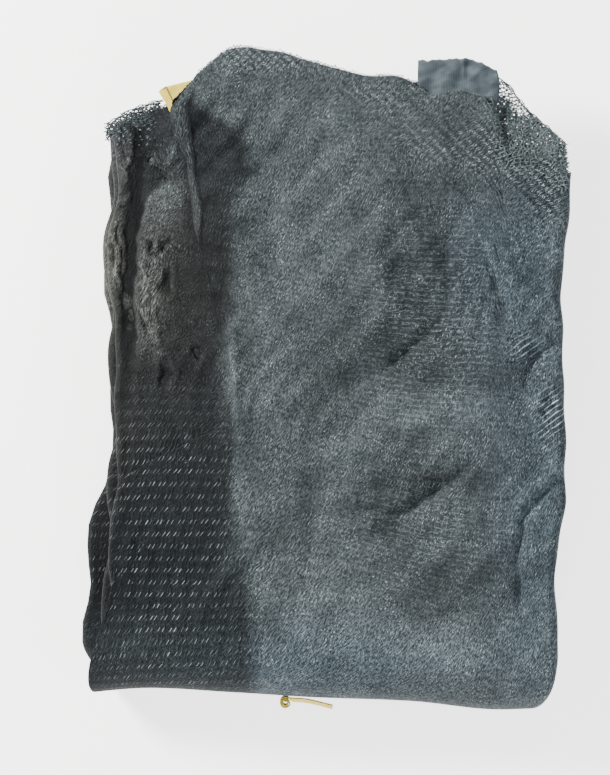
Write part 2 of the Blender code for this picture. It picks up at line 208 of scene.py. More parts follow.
# Broad creases of the top layers in mm, each its width, its height and its points, and the
# lowest layer that they reach
creases = {
    "deepest": 0.0154,
    "lines": [
        (11, 1.8, -101, 102, -91, 56, -80, 11, -68, -31), (12, -4.8, 80, 44, 68, 31, 46, 11, 17, -8),
        (11, -5.0, 112, -60, 80, -86, 54, -102, 35, -98), (14, 3.8, 18, -61, 48, -38, 93, -21, 138, -20),
        (12, -2.8, -4, -70, -10, -119, -12, -153),
        (8, -4.2, 180, -68, 163, -84, 149, -101, 146, -133, 150, -170),
        (9, -4.2, 174, 34, 163, 26, 152, 17, 148, -3), (8, 2.5, 176, 6, 164, 0, 156, -18, 160, -38),
        (12, 3.2, 51, -136, 74, -154, 97, -149), (10, -3.0, 52, -181, 90, -176, 135, -167),
        (9, -2.4, 96, 128, 84, 96, 88, 62), (18, 3.8, 34, 150, 39, 124, 32, 97, 41, 68, 34, 34),
        (7, 2.2, -71, 34, -70, 11, -68, -19, -63, -49, -66, -71), (12, 1.8, -57, -60, -20, -47, 11, -58),
        (8, 2.5, -46, -117, -59, -136, -79, -159, -89, -178), (10, 2.0, -15, -198, 7, -167, 17, -137),
        (14, -1.8, -151, -180, -91, -170, -30, -183), (14, -2.5, -126, -6, -114, -35, -102, -72),
        (7, -2.4, -96, -222, 1, -226, 71, -224, 130, -229), (10, 2.2, 113, -194, 136, -208, 152, -230),
        (8, 2.8, 48, 211, 67, 189, 83, 174, 101, 179), (13, -2.8, 111, 108, 128, 63, 132, 33),
        (8, 2.2, 167, 117, 164, 71, 174, 42), (18, -2.5, -30, 190, -45, 130, -40, 70),
        (12, -3.2, 87, 154, 105, 138, 118, 142),
    ],
}


def crease(away, width, sharp):
    # A soft bell exp(-(distance / width)^2), with a share of it as a bell 0.38 as wide
    return (1 - sharp) * np.exp(-((away / width) ** 2)) + sharp * np.exp(-((away / (0.38 * width)) ** 2))


def reliefOf(x, y, lines, sharp, least, inset, total=0.0):
    # The sum of height * crease * (least + (1 - least) sin(pi (inset + (1 - 2 inset) share)))
    for width, height, *line in lines:
        away, share = nearLine(x, y, line)
        fade = least + (1 - least) * np.sin(math.pi * (inset + (1 - 2 * inset) * share))
        total = total + height / 1000 * crease(away, width, sharp) * fade
    return total


def broadRelief(x, y, rise):
    # The broad creases, full on the top layer and gone lower down
    total = reliefOf(x, y, creases["lines"], 0.55, 0.35, 0.1)
    return total * ease(rise, creases["deepest"], layerRise[0])


# The strip that shows beside the flap, whose folds belong to the second layer: lines as
# before and sunk patches, in mm, and a lobe that steps up to the right of its edge
strip = {
    "lines": [
        (2.4, 2.0, -165, 183, -165, 167, -167, 148), (3.0, 2.6, -156, 183, -154, 165, -156, 144),
        (2.2, 2.2, -153, 134, -161, 125, -170, 116), (2.0, 2.2, -158, 120, -166, 99, -176, 80),
        (2.1, 2.0, -158, 116, -161, 84, -163, 46), (2.2, 1.3, -157, 112, -157, 84, -159, 54, -160, 27),
        (2.0, 1.8, -168, 110, -170, 82, -172, 50), (1.7, 1.7, -143, 105, -136, 108, -129, 110),
        (1.7, 1.7, -143, 99, -136, 102, -128, 105), (1.8, 1.5, -141, 87, -132, 92, -127, 98),
        (2.4, 2.0, -127, 157, -120, 166, -112, 174), (2.2, -1.6, -129, 148, -121, 156, -114, 162),
        (2.6, -1.8, -141, 161, -133, 154, -125, 144), (3.0, 1.6, -136, 133, -126, 139, -114, 143),
        (3.0, 1.8, -142, 83, -139, 69, -137, 53), (2.2, 1.8, -143, 52, -137, 41, -130, 31),
        (2.0, -1.6, -146, 53, -141, 41, -135, 27), (1.8, 1.5, -130, 55, -131, 43, -128, 31),
        (4.5, 1.6, -135, 41, -129, 29, -129, 16, -116, 1), (2.2, 1.6, -155, -42, -154, -74, -154, -99),
        (2.2, -1.4, -161, -46, -162, -63, -159, -86),
    ],
    "patches": [
        (-166, 133, 4.5, 12, -18), (-134, 91, 4.0, 6.5, 20), (-126, 97, 3.6, 5.5, -30),
        (-125, 66, 5.0, 10, -12), (-121, -1, 5.0, 11, 5), (-137, 158, 3.6, 5, 60),
        (-128, 153, 3.4, 4, 30), (-98, 16, 4.5, 5, 30),
    ],
    "channel": [
        6.5, 1.7, -149, 178, -148, 152, -149, 127, -150, 102, -152, 70, -153, 24, -152, -21, -153, -75,
    ],
    "patchDepth": 0.0016,
    "patchRim": 0.0008,
    "lobe": {
        "y": [-0.01, 0.0392, 0.0617, 0.0829, 0.0995, 0.1146, 0.1275, 0.1376, 0.142],
        "x": [-0.14, -0.1436, -0.1451, -0.1442, -0.1433, -0.1415, -0.1381, -0.1271, -0.115],
    },
    "gathers": (6.2, 0.0009, -0.1535, 0.05, 0.135),
    "lobeHeight": 0.0026,
    "lobeWidths": (0.0016, 0.024),
    "layers": (0.0093, 0.0276, 0.029, 0.035),
}


def stripFolds(x, y, rise, raised=1.0):
    # Lines as before but wavering, the channel as -depth * exp(-(distance / width)^4), narrow
    # gathers beside it as height * (1 - 2 |sin|), patches sunk by depth * exp(-r^6) with a rim
    # at r = 1.3, and the lobe's edge, which rises over the first width and falls off slowly
    # over the second one
    pitch, tall, inner, midY, reach = strip["gathers"]
    bent = x * 1000 / pitch + 0.4 * np.sin(y / 0.013) + 0.25 * np.sin(y / 0.0052)
    gather = (1 - 2 * np.abs(np.sin(math.pi * bent))) * tall
    gather = gather * (0.55 + 0.45 * np.sin(y / 0.019 + x / 0.004)) * ease(x, inner, inner - 0.006)
    gather = gather * np.exp(-(((y - midY) / reach) ** 4))
    x = x + 0.001 * np.sin(y / 0.0072 + x / 0.012) + 0.0006 * np.sin(y / 0.0026 + x / 0.006)
    width, depth, *line = strip["channel"]
    away, share = nearLine(x, y, line)
    fade = 0.5 + 0.5 * np.sin(math.pi * (0.1 + 0.8 * share))
    total = -depth / 1000 * np.exp(-((away / width) ** 4)) * fade
    total = reliefOf(x, y, strip["lines"], 0.45, 0.3, 0.06, total)
    for midX, midY, width, length, degrees in strip["patches"]:
        turn = math.radians(degrees)
        across = (x * 1000 - midX) * math.cos(turn) + (y * 1000 - midY) * math.sin(turn)
        along = (y * 1000 - midY) * math.cos(turn) - (x * 1000 - midX) * math.sin(turn)
        r = np.hypot(across / width, along / length)
        r = r * (1 + 0.22 * np.sin(3 * np.arctan2(along, across) + degrees))
        rim = strip["patchRim"] * np.exp(-(((r - 1.3) / 0.22) ** 2))
        total = total - strip["patchDepth"] * np.exp(-(r**6)) + rim
    over = x - lookUp(strip["lobe"], "x", y)
    near, far = strip["lobeWidths"]
    lobe = strip["lobeHeight"] * np.exp(-((over / np.where(over < 0, near, far)) ** 2))
    total = total + lobe * ease(y, -0.005, 0.03) * ease(y, 0.145, 0.13) + gather
    total = np.where(total > 0, total * raised, total)
    first, full, still, gone = strip["layers"]
    return total * ease(rise, first, full) * ease(rise, gone, still)


# Small uneven swells of the whole cloth: wavelengths, direction and height
crumple = [
    (0.083, 24, 0.001), (0.055, 118, 0.001), (0.04, 71, 0.0008), (0.029, 160, 0.0006), (0.021, 40, 0.0004),
]


def crumpled(x, y):
    # A sum of sines, each bent by another one across it, with sharpened crests
    total = 0.0
    for i, (length, degrees, height) in enumerate(crumple):
        turn = math.radians(degrees)
        along = x * math.cos(turn) + y * math.sin(turn)
        across = y * math.cos(turn) - x * math.sin(turn)
        wave = np.sin(2 * math.pi * along / length + 1.9 * np.sin(across / (0.7 * length) + i) + 1.3 * i)
        patch = 0.5 + 0.5 * np.sin(across / (0.9 * length) + 2.1 * i + np.sin(along / 0.05))
        total = total + height * patch * (1 - 2 * np.abs(wave))
    return total


def layerHeight(rise, x, y, raised=0.3):
    # lowest + (plane + rise - lowest) * fullness, propped up over the webbing and the band,
    # with the creases, the strip's folds and the crumpling of the layers near the top
    props = bell(x, y, surface["overWebbing"]) + bell(x, y, surface["overBand"])
    height = lowestMiddle + (planeHeight + rise - lowestMiddle) * fullness(x, y)
    height = height + props * ease(rise, layerRise[1], layerRise[0]) + broadRelief(x, y, rise)
    height = height + stripFolds(x, y, rise, raised)
    return height + crumpled(x, y) * ease(rise, creases["deepest"], layerRise[0])


def bendMiddle(x):
    # Middle line of the bend at the lower end
    return lookUp(outline["bottom"], "y", x) + layerRise[0] + lowestMiddle


def foldX(fold, upper, y):
    # Outline -+ (inset + ripple + half the fold's reach), mixed from the lower to the upper half
    inset = bundle["lowerInset"][fold] * (1 - upper) + bundle["upperInset"][fold] * upper
    turn = 2 * math.pi * y / bundle["waveLength"][fold] + bundle["wavePhase"][fold] - 2 * upper
    ripple = bundle["wave"][fold] * (1 + np.sin(turn))
    ripple = ripple + 0.0011 * np.sin(y / 0.0087 + 2.1 * fold) * np.sin(y / 0.031 + fold)
    inside = inset + ripple + (layerRise[fold] - layerRise[fold + 1] + bundle["layerThickness"]) / 2
    if bundle["foldSide"][fold] > 0:
        return sideX("right", y) - inside
    low = sideX("leftLower", y)
    return low * (1 - upper) + sideX("leftUpper", y) * upper + inside


def freeEdge(layer, upper, y):
    # Left edge of the outermost layer, or of the innermost one
    if layer == 0:
        below = sideX("leftLower", y) + 0.009 + 0.002 * np.sin(y / 0.024)
        return below * (1 - upper) + flapEdge(y) * upper
    return sideX("leftUpper", y) + 0.016 + 0.003 * np.sin(y / 0.03)


def runEnds(layer, upper, y):
    # Left and right end of a layer's nearly flat run
    inward = foldX(layer, upper, y) if layer < lastLayer else freeEdge(layer, upper, y)
    outward = foldX(layer - 1, upper, y) if layer > 0 else freeEdge(layer, upper, y)
    return (outward, inward) if layer % 2 == 0 else (inward, outward)


def openEnd(layer, upper, x):
    # Where a layer ends: its row of the table less its cut, with a small wander
    wander = 0.0018 * np.sin(x / 0.019 + 2 * layer + 3 * upper)
    if upper and layer < 2:
        return endY(("flap", "dense")[layer], x)
    cut = bundle["upperCut" if upper else "lowerCut"][layer]
    return endY("rest", x) - cut + wander


def runX(layer, share, upper, y):
    # left + (right - left) * share, in a layer's run
    left, right = runEnds(layer, upper, y)
    return left + (right - left) * share


def turnX(layer, angle, upper, y):
    # fold + side * radius * sin(angle), in the turn into the next layer
    radius = (layerRise[layer] - layerRise[layer + 1]) / 2
    return foldX(layer, upper, y) + bundle["foldSide"][layer] * radius * np.sin(angle)


def clothGrid(ply):
    # Rows run from the lower half's open end round the bend to the upper half's, and
    # columns through each layer's run and the turn into the next layer. A column's x comes
    # from its share of the run or its angle in the turn; its rows share out the length.
    low = 1 - np.linspace(0, 1, ply["lowerRows"] + 1)
    bend = np.linspace(0, math.pi, ply["bendRows"] + 1)[1:-1]
    high = np.linspace(0, 1, ply["upperRows"] + 1)
    high = high + ply["pull"] * np.sin(math.pi * high)
    angle = np.concatenate([0 * low, bend, 0 * high + math.pi])[:, None]
    upper = (1 - np.cos(angle)) / 2
    out, inn = np.array(bundle["outward"]), np.array(bundle["inward"])
    lifts = (out - inn) / 2 * (-1) ** np.arange(lastLayer + 1) + (out + inn) / 2 * ply["place"]
    blocks = []
    for layer in range(lastLayer + 1):
        share = ply["shares"][layer] if layer % 2 == 0 else ply["shares"][layer][::-1]
        spots = [("run", share)]
        if layer < lastLayer:
            spots.append(("turn", np.linspace(0, math.pi, ply["turnSteps"] + 1)[1:-1]))
        for kind, spot in spots:
            place = runX if kind == "run" else turnX
            mix = 0 * spot if kind == "run" else (1 - np.cos(spot)) / 2
            nextLayer = min(layer + 1, lastLayer)
            rise = layerRise[layer] * (1 - mix) + layerRise[nextLayer] * mix
            bottomX = place(layer, spot, 1.0, np.full_like(spot, bundle["nearBottom"]))
            middle = bendMiddle(bottomX)
            lengths = []
            for half in (0, 1):
                end = np.full_like(spot, bundle["nearEnd"])
                for _ in range(3):  # until x and y both lie on the table's curve
                    endX = place(layer, spot, float(half), end)
                    end = openEnd(layer, half, endX) * (1 - mix) + openEnd(nextLayer, half, endX) * mix
                wander = ply["endWander"] * np.sin(endX / 0.011 + ply["seed"] * 1.7 + layer) * (1 - mix)
                lengths.append(end + wander - ply["endCut"] * (half + layer > 0) - middle)
            y = np.concatenate([
                middle + lengths[0] * low[:, None],
                middle - rise * np.sin(bend)[:, None],
                middle + lengths[1] * high[:, None],
            ])
            x = place(layer, spot, 0.0, y) * (1 - upper) + place(layer, spot, 1.0, y) * upper
            z = layerHeight(-rise * np.cos(angle), x, y, 1.0 if ply["place"] == -1 else 0.3)
            flatY = np.where(
                angle == 0,
                2 * middle - layerRise[0] * math.pi - y,
                np.where(angle == math.pi, y, middle - layerRise[0] * (math.pi - angle)),
            )
            lift = lifts[layer] * (1 - mix) + lifts[nextLayer] * mix
            onTop = np.full_like(x, 1.0 if kind == "run" else 0.0) * (angle > 3.0)
            blocks.append([x, y, z, flatY, np.broadcast_to(lift, x.shape), onTop * (layer + 1)])
    return [np.concatenate(parts, axis=1) for parts in zip(*blocks)]


def unit(vectors, least=1e-12):
    # vector / length, where the length is above the least one
    return vectors / np.maximum(np.linalg.norm(vectors, axis=-1, keepdims=True), least)


def walkedAlong(points):
    # Length walked to each of a line's points
    return np.concatenate([[0.0], np.cumsum(np.linalg.norm(np.diff(points, axis=0), axis=1))])


def addObject(name, data):
    # An object in the scene, unturned and unscaled
    made = bpy.data.objects.new(name, data)
    bpy.context.scene.collection.objects.link(made)
    return made


def meshObject(name, points, faces, finish):
    # A smooth mesh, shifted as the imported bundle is
    mesh = bpy.data.meshes.new(name)
    mesh.from_pydata((points + np.array([*bundle["shift"], 0.0])).reshape(-1, 3).tolist(), [], faces)
    mesh.shade_smooth()
    mesh.materials.append(finish)
    return addObject(name, mesh)


def gridObject(name, points, flat, finish, thickness, rounded=False):
    # One surface from a grid of points, with its flat sizes in metres as the UV map
    rows, columns = points.shape[:2]
    spot = np.arange(rows * columns).reshape(rows, columns)
    quads = np.stack([spot[:-1, :-1], spot[:-1, 1:], spot[1:, 1:], spot[1:, :-1]], axis=2).reshape(-1, 4)
    made = meshObject(name, points, quads.tolist(), finish)
    layer = made.data.uv_layers.new(name="flat")
    layer.uv.foreach_set("vector", flat.reshape(-1, 2)[quads.ravel()].astype(np.float32).ravel())
    wall = made.modifiers.new("Thickness", "SOLIDIFY")
    wall.thickness, wall.offset = thickness, 0.0
    if rounded:
        bevel = made.modifiers.new("Edges", "BEVEL")
        bevel.width, bevel.segments, bevel.angle_limit = thickness * 0.3, 2, math.radians(50)
        bevel.harden_normals = True
    return made


def strandObject(name, lines, radius, sides=4):
    # Tubes round many lines of points: each ring is the point + radius * (side * cos + up * sin)
    along = unit(np.gradient(lines, axis=1))
    side = unit(np.cross(along, [0.0, 0.0, 1.0]), 1e-6)
    up = np.cross(side, along)
    turn = (np.arange(sides) / sides * 2 * math.pi)[:, None]
    rings = lines[:, :, None] + radius * (side[:, :, None] * np.cos(turn) + up[:, :, None] * np.sin(turn))
    count, steps = lines.shape[:2]
    spot = np.arange(count * steps * sides).reshape(count, steps, sides)
    around = np.roll(spot, -1, axis=2)
    walls = np.stack([spot[:, :-1], around[:, :-1], around[:, 1:], spot[:, 1:]], axis=3).reshape(-1, 4)
    caps = np.concatenate([spot[:, 0, ::-1], spot[:, -1]])
    return meshObject(name, rings, walls.tolist() + caps.tolist(), strandCloth)


def dress(piece, node):
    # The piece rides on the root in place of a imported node
    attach(piece, "root")
    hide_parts(node)


class signal:
    # A socket's value in a node tree: formulas of signals and numbers become Math nodes
    def __init__(self, tree, socket):
        self.tree, self.socket = tree, socket

    def by(self, operation, *values):
        return calc(self.tree, operation, self, *values)

    def __add__(self, other):
        return self.by("ADD", other)

    def __sub__(self, other):
        return self.by("SUBTRACT", other)

    def __rsub__(self, other):
        return calc(self.tree, "SUBTRACT", other, self)

    def __mul__(self, other):
        return self.by("MULTIPLY", other)

    def __truediv__(self, other):
        return self.by("DIVIDE", other)

    def scaled(self, factor, added):
        return self.by("MULTIPLY_ADD", factor, added)

    def within(self, low, high):
        return self.by("MAXIMUM", low).by("MINIMUM", high)

    def split(self):
        node = addNode(self.tree, "SeparateXYZ", {0: self}).socket.node
        return [signal(self.tree, socket) for socket in node.outputs]


def feed(tree, socket, value):
    # Links a signal to the socket, or sets any other value on it
    if isinstance(value, signal):
        tree.links.new(value.socket, socket)
    else:
        socket.default_value = value


def addNode(tree, kind, inputs, output=0, **settings):
    # A node with its settings and inputs, as the signal of one of its outputs
    node = tree.nodes.new("ShaderNode" + kind)
    for label, value in settings.items():
        setattr(node, label, value)
    for label, value in inputs.items():
        feed(tree, node.inputs[label], value)
    return signal(tree, node.outputs[output])


def calc(tree, operation, *values):
    # One Math node
    return addNode(tree, "Math", dict(enumerate(values)), operation=operation)


def signals(tree, node):
    # A node's outputs by name
    return {socket.name: signal(tree, socket) for socket in node.outputs}


def ridge(distance, halfWidth):
    # 1 - (distance / halfWidth)^2, not below 0: a round strand seen from its side
    share = distance / halfWidth
    return (1.0 - share * share).by("MAXIMUM", 0.0)


def newGroup(name, inputs):
    # A shader group with number inputs (a vector where the value is None), and their signals
    group = bpy.data.node_groups.new(name, "ShaderNodeTree")
    for label, value in inputs.items():
        kind = "NodeSocketVector" if value is None else "NodeSocketFloat"
        socket = group.interface.new_socket(name=label, in_out="INPUT", socket_type=kind)
        if value is not None:
            socket.default_value = value
    return group, signals(group, group.nodes.new("NodeGroupInput"))


def closeGroup(group, results):
    # The group's outputs, each fed with its signal
    for label in results:
        group.interface.new_socket(name=label, in_out="OUTPUT", socket_type="NodeSocketFloat")
    out = group.nodes.new("NodeGroupOutput")
    for label, value in results.items():
        feed(group, out.inputs[label], value)
    return group


def knitGroup():
    # Pairs of legs zigzag up each wale: a pair's middle is at wale + lean * pingpong(course)
    # and its legs are a share of the wale to either side. Bars tie the pairs where they turn.
    group, use = newGroup("knitCells", {
        "Flat": None, "Wale": 0.0081, "Course": 0.0088, "Slope": 0.2, "Lean": 0.19,
        "Pair": 0.185, "Strand": 0.095, "Bar": 0.14,
    })
    x, y, _ = use["Flat"].split()
    course = y / use["Course"]
    swing = course.by("PINGPONG", 0.5) * 2.0
    middle = (x - y * use["Slope"]) / use["Wale"] - swing * use["Lean"]
    aside = (middle.by("PINGPONG", 0.5) - use["Pair"]).by("ABSOLUTE")
    half = course * 2.0
    bar = ridge(half.by("PINGPONG", 0.5), use["Bar"])
    height = ridge(aside, use["Strand"]).by("MAXIMUM", bar * 0.45)
    rising = (course * (2 * math.pi)).by("SINE").scaled(2.6, -0.9).within(0.0, 1.0)
    spot = addNode(group, "CombineXYZ", {0: (middle * 2.0).by("FLOOR"), 1: half.by("FLOOR")})
    return closeGroup(group, {
        "Height": height,
        "Cloth": (height * 1.8).by("MINIMUM", 1.0),
        "Slant": rising * ridge(aside, use["Strand"] * 0.54),
        "Cell": addNode(group, "TexWhiteNoise", {"Vector": spot}, "Value", noise_dimensions="2D"),
    })


def weaveGroup():
    # Plain weave: |sin| ribs across and along, each over the other in turn
    group, use = newGroup("plainWeave", {"Flat": None, "Across": 0.0008, "Along": 0.0008})
    x, y, _ = use["Flat"].split()
    warp = (x / use["Across"] * math.pi).by("SINE")
    weft = (y / use["Along"] * math.pi).by("SINE")
    over = (warp * weft).scaled(0.5, 0.5)
    return closeGroup(group, {"Height": warp.by("ABSOLUTE") * 0.5 + weft.by("ABSOLUTE") * over})


def placeGroup(tree, group, vector, **values):
    # The signals of a group's outputs, where it stands in a material
    node = tree.nodes.new("ShaderNodeGroup")
    node.node_tree = group
    for label, value in {"Flat": vector, **values}.items():
        feed(tree, node.inputs[label], value)
    return signals(tree, node)


def newFinish(name, roughness, gloss=0.5):
    # A material, its tree, its shader's inputs and the cloth's flat and object coordinates
    made = bpy.data.materials.new(name)
    made.use_nodes = True
    tree = made.node_tree
    use = tree.nodes["Principled BSDF"].inputs
    use["Roughness"].default_value = roughness
    use["Specular IOR Level"].default_value = gloss
    return made, tree, use, addNode(tree, "UVMap", {}, uv_map="flat"), addNode(tree, "TexCoord", {}, "Object")


def mixColours(tree, share, first, second):
    # first * (1 - share) + second * share
    first, second = (value if isinstance(value, signal) else (*value, 1.0) for value in (first, second))
    return addNode(tree, "Mix", {0: share, 6: first, 7: second}, 2, data_type="RGBA")


def addBump(tree, use, height, depth):
    # The height as relief of a depth in metres
    feed(tree, use["Normal"], addNode(tree, "Bump", {"Distance": depth, "Height": height}))


def softNoise(tree, vector, scale, detail=2.0, output="Fac"):
    # Noise with so many waves to a metre
    return addNode(tree, "TexNoise", {"Vector": vector, "Scale": scale, "Detail": detail}, output)


def swayed(tree, vector, noise, reach):
    # vector + noise * reach, in the flat plane
    inputs = {0: noise, 1: (reach, reach, 0.0), 2: vector}
    return addNode(tree, "VectorMath", inputs, operation="MULTIPLY_ADD")


def turned(tree, vector, degrees, move=(0.0, 0.0)):
    # Coordinates turned in the flat plane, then moved
    turn = (0.0, 0.0, math.radians(degrees))
    return addNode(tree, "Mapping", {"Vector": vector, "Rotation": turn, "Location": (*move, 0.0)})


def hatchGroup():
    # Short marks along one direction: noise stretched to the given length and width, in steps
    group, use = newGroup("hatching", {"Flat": None, "Turn": None, "Size": None, "Low": 0.4, "High": 0.64})
    inputs = {"Vector": use["Flat"], "Rotation": use["Turn"], "Scale": use["Size"]}
    marks = softNoise(group, addNode(group, "Mapping", inputs, vector_type="TEXTURE"), 1.0, 1.5)
    inputs = {"Value": marks, "From Min": use["Low"], "From Max": use["High"]}
    stepped = addNode(group, "MapRange", inputs, "Result", interpolation_type="SMOOTHSTEP")
    return closeGroup(group, {"Marks": stepped})


def hatched(tree, vector, degrees, size, low, high):
    # The hatching group's marks, turned and sized
    values = {"Turn": (0.0, 0.0, math.radians(degrees)), "Size": (*size, 1.0), "Low": low, "High": high}
    return placeGroup(tree, hatching, vector, **values)["Marks"]


def evenRidges(tree, vector, degrees, pitch, halfWidth):
    # ridge(pingpong(distance across the direction / pitch))
    across = turned(tree, vector, degrees).split()[1]
    return ridge((across / pitch).by("PINGPONG", 0.5), halfWidth)


# Where the cloth looks darker or paler, bluer or browner, and so on: middle, widths (mm), amount.
# The darker and paler bells, the darker left and paler right of the border and the strip's
# darker hollows and paler ridges are painted shade and painted highlights.
toning = {
    "paintedShade": [
        (-145, -142, 38, 60, -0.18), (-168, -173, 12, 45, -0.12), (-149, -21, 11, 53, -0.06),
        (49, 32, 27, 11, -0.22), (13, 5, 24, 11, -0.26), (72, -76, 48, 11, -0.42),
        (118, -66, 30, 12, -0.3), (45, -106, 10, 30, -0.2), (133, 4, 15, 21, -0.42),
        (84, 147, 23, 15, -0.3), (82, 188, 18, 11, -0.22), (112, -146, 45, 10, -0.28),
        (150, -87, 5, 45, -0.3), (-41, -120, 14, 14, -0.24), (160, 0, 11, 12, -0.2),
        (60, 8, 50, 12, -0.12), (92, -72, 26, 12, -0.3), (128, -140, 24, 24, -0.25),
        (-12, -100, 8, 50, -0.25), (36, 60, 24, 8, -0.2), (-64, 15, 14, 60, -0.22),
        (-90, -95, 20, 45, -0.1), (-70, -165, 30, 16, 0.1),
    ],
    "paintedLight": [
        (-171, 72, 10, 52, 1.1), (-165, 167, 8, 22, 0.6), (-132, 121, 12, 17, 0.35),
        (-134, 66, 9, 32, 0.34), (130, 20, 45, 110, 0.3), (95, -14, 60, 16, 0.3),
        (60, -180, 110, 38, 0.26), (-110, -208, 70, 16, 0.5), (-76, -12, 8, 40, 0.5),
        (-66, -135, 10, 30, 0.4), (84, -22, 40, 9, 0.35), (96, -122, 26, 10, 0.3),
        (-51, 31, 22, 50, 0.2), (10, -50, 36, 14, 0.45), (55, -28, 45, 13, 0.46),
        (115, -14, 45, 11, 0.34), (64, -126, 38, 11, 0.36), (97, -104, 21, 9, 0.26),
        (11, -167, 42, 27, 0.26), (100, -200, 78, 17, 0.55), (167, -170, 12, 45, 0.5),
        (168, -50, 9, 60, 0.5), (158, 154, 9, 45, 0.34), (-80, 237, 30, 12, 0.26),
        (-18, -228, 90, 8, 0.34), (-122, 151, 10, 34, 0.4), (-16, -149, 8, 38, 0.18),
        (168, 109, 6, 30, 0.3), (-92, 162, 13, 32, 0.32), (95, 42, 34, 25, 0.24),
        (142, -105, 16, 60, 0.34), (173, -62, 6, 6, 0.7), (162, -74, 6, 6, 0.7), (152, -84, 6, 6, 0.5),
        (150, -195, 18, 30, 0.2),
    ],
    "warm": [
        (-168, 84, 17, 128, 0.6), (-151, 54, 45, 98, 0.6), (-106, 55, 30, 90, 0.5),
        (-163, -52, 18, 45, 0.7), (-167, -142, 11, 38, 0.5), (150, 63, 45, 151, -0.4),
        (164, -132, 38, 98, -0.4), (-14, -213, 120, 30, -0.4), (104, 92, 45, 45, -0.25),
        (-130, -141, 45, 45, -0.25),
    ],
    "open": [
        (-119, -130, 54, 84, 1.1), (-110, -214, 62, 26, 0.75), (-132, -62, 45, 26, 0.5),
        (-48, 142, 21, 26, 0.6), (113, 62, 42, 33, 0.5), (61, -199, 98, 24, 0.5),
        (-17, -138, 35, 45, 0.5), (-81, 94, 12, 45, 0.35), (49, 158, 45, 23, 0.3),
        (-30, 40, 50, 90, 0.28), (68, -80, 55, 50, 0.45), (148, -102, 23, 60, 0.3),
    ],
    "holes": [
        (130, 176, 26, 26, 0.9), (79, 174, 33, 18, 0.3), (159, 150, 12, 30, 0.8),
        (-156, 182, 17, 12, 0.6), (-40, 238, 50, 8, 0.5), (-74, 236, 14, 12, 0.3),
        (40, 214, 45, 9, 0.35),
    ],
    "pleats": [
        (-170, 82, 10, 55, 1.0), (-163, 161, 10, 26, 1.0), (-136, 62, 9, 36, 1.0),
        (-118, 167, 9, 17, 0.7), (-158, -67, 7, 35, 0.7), (164, -11, 12, 23, 0.7),
        (-134, 156, 11, 11, 0.8),
    ],
    "ribs": [(168, -21, 10, 20, 1.2), (149, 27, 12, 10, 0.9)],
    "ribHeights": (0.057, 0.064),  # the ribs fade out below the top fold
    "rows": [
        (75, 50, 70, 90, 0.95), (75, -115, 70, 50, 0.75), (20, 190, 60, 30, 0.4), (-60, 40, 40, 60, 0.3),
    ],
    "border": {
        "y": [-236, -199, -139, -94, -41, 11, 57, 132, 184, 202, 251],
        "x": [-46, -48, -58, -68, -68, -78, -74, -72, -75, -106, -112],
    },
    "left": 0.35,
    "right": 1.78,
    "paintedFoldShading": 1.5,
}


def tones(x, y, onTop):
    # Sums of bells: how pale the cloth is against 1, as painted shade and painted highlights, how
    # brown (up) or blue (down), how far its cells stand open, the small mesh shows, it is pleated
    # and its courses show as rows. A border parts the left, painted darker, from the rest, and the
    # strip's hollows get painted shade and its ridges painted highlights.
    def total(label):
        return sum(bell(x * 1000, y * 1000, place) for place in toning[label])

    past = x * 1000 - lookUp(toning["border"], "x", y * 1000)
    soft = 9.0 - 5.5 * np.exp(-(((y + 0.055) / 0.05) ** 2))
    # painted light: a darker left and a paler right, then the painted shade and painted highlight bells
    base = toning["left"] + (toning["right"] - toning["left"]) * ease(past / soft, -1.0, 1.0)
    paintedLight = base + total("paintedShade") * (0.8 + 0.35 * base) + total("paintedLight") * (0.7 + 0.6 * base)
    second = onTop == 2
    # painted shade in the strip's hollows and painted highlights on its ridges, from its fold heights
    folds = stripFolds(x, y, layerRise[1]) / 0.0022
    beside = ease(x - flapEdge(y), 0.004, -0.004) * ease(y, -0.02, 0.03)
    paintedLight = paintedLight * (1 + second * beside * np.clip(folds, -0.45, 1.5) * toning["paintedFoldShading"])
    opened = np.clip(total("open"), 0, 1) * (1 - second * beside)
    values = {"paintedLight": paintedLight, "warm": 0.5 + 0.5 * np.clip(total("warm"), -1, 1), "open": opened}
    for label in ("holes", "pleats", "rows", "ribs"):
        values[label] = np.clip(total(label), 0, 1)
    return values


def addValues(thing, name, values):
    # A number for each point, for the material to read
    layer = thing.data.attributes.new(name, "FLOAT", "POINT")
    layer.data.foreach_set("value", np.asarray(values, dtype=np.float32).ravel())


# The gap colour is painted shade of the plies seen through the cells; the two pale colours after the blue and
# brown are a painted glint and a painted sparkle.
knitLook = {
    "gap": (0.0042, 0.005, 0.0056),
    "blue": (0.031, 0.048, 0.061),
    "brown": (0.052, 0.052, 0.046),
    "paintedGlint": (0.34, 0.4, 0.42),
    "paintedSparkle": (0.165, 0.195, 0.205),
    "roughness": 0.62,
    "depth": 0.0005,
    "gloss": 0.05,
    "rowPitch": 0.0042,
    "ribPitch": 0.0038,
}


def readValue(tree, name):
    # A number stored on the mesh's points
    return addNode(tree, "Attribute", {}, "Fac", attribute_name=name)


def dimmed(tree, colour, share):
    # The colour times a share that changes over the surface
    return addNode(tree, "VectorMath", {0: colour, "Scale": share}, operation="SCALE")


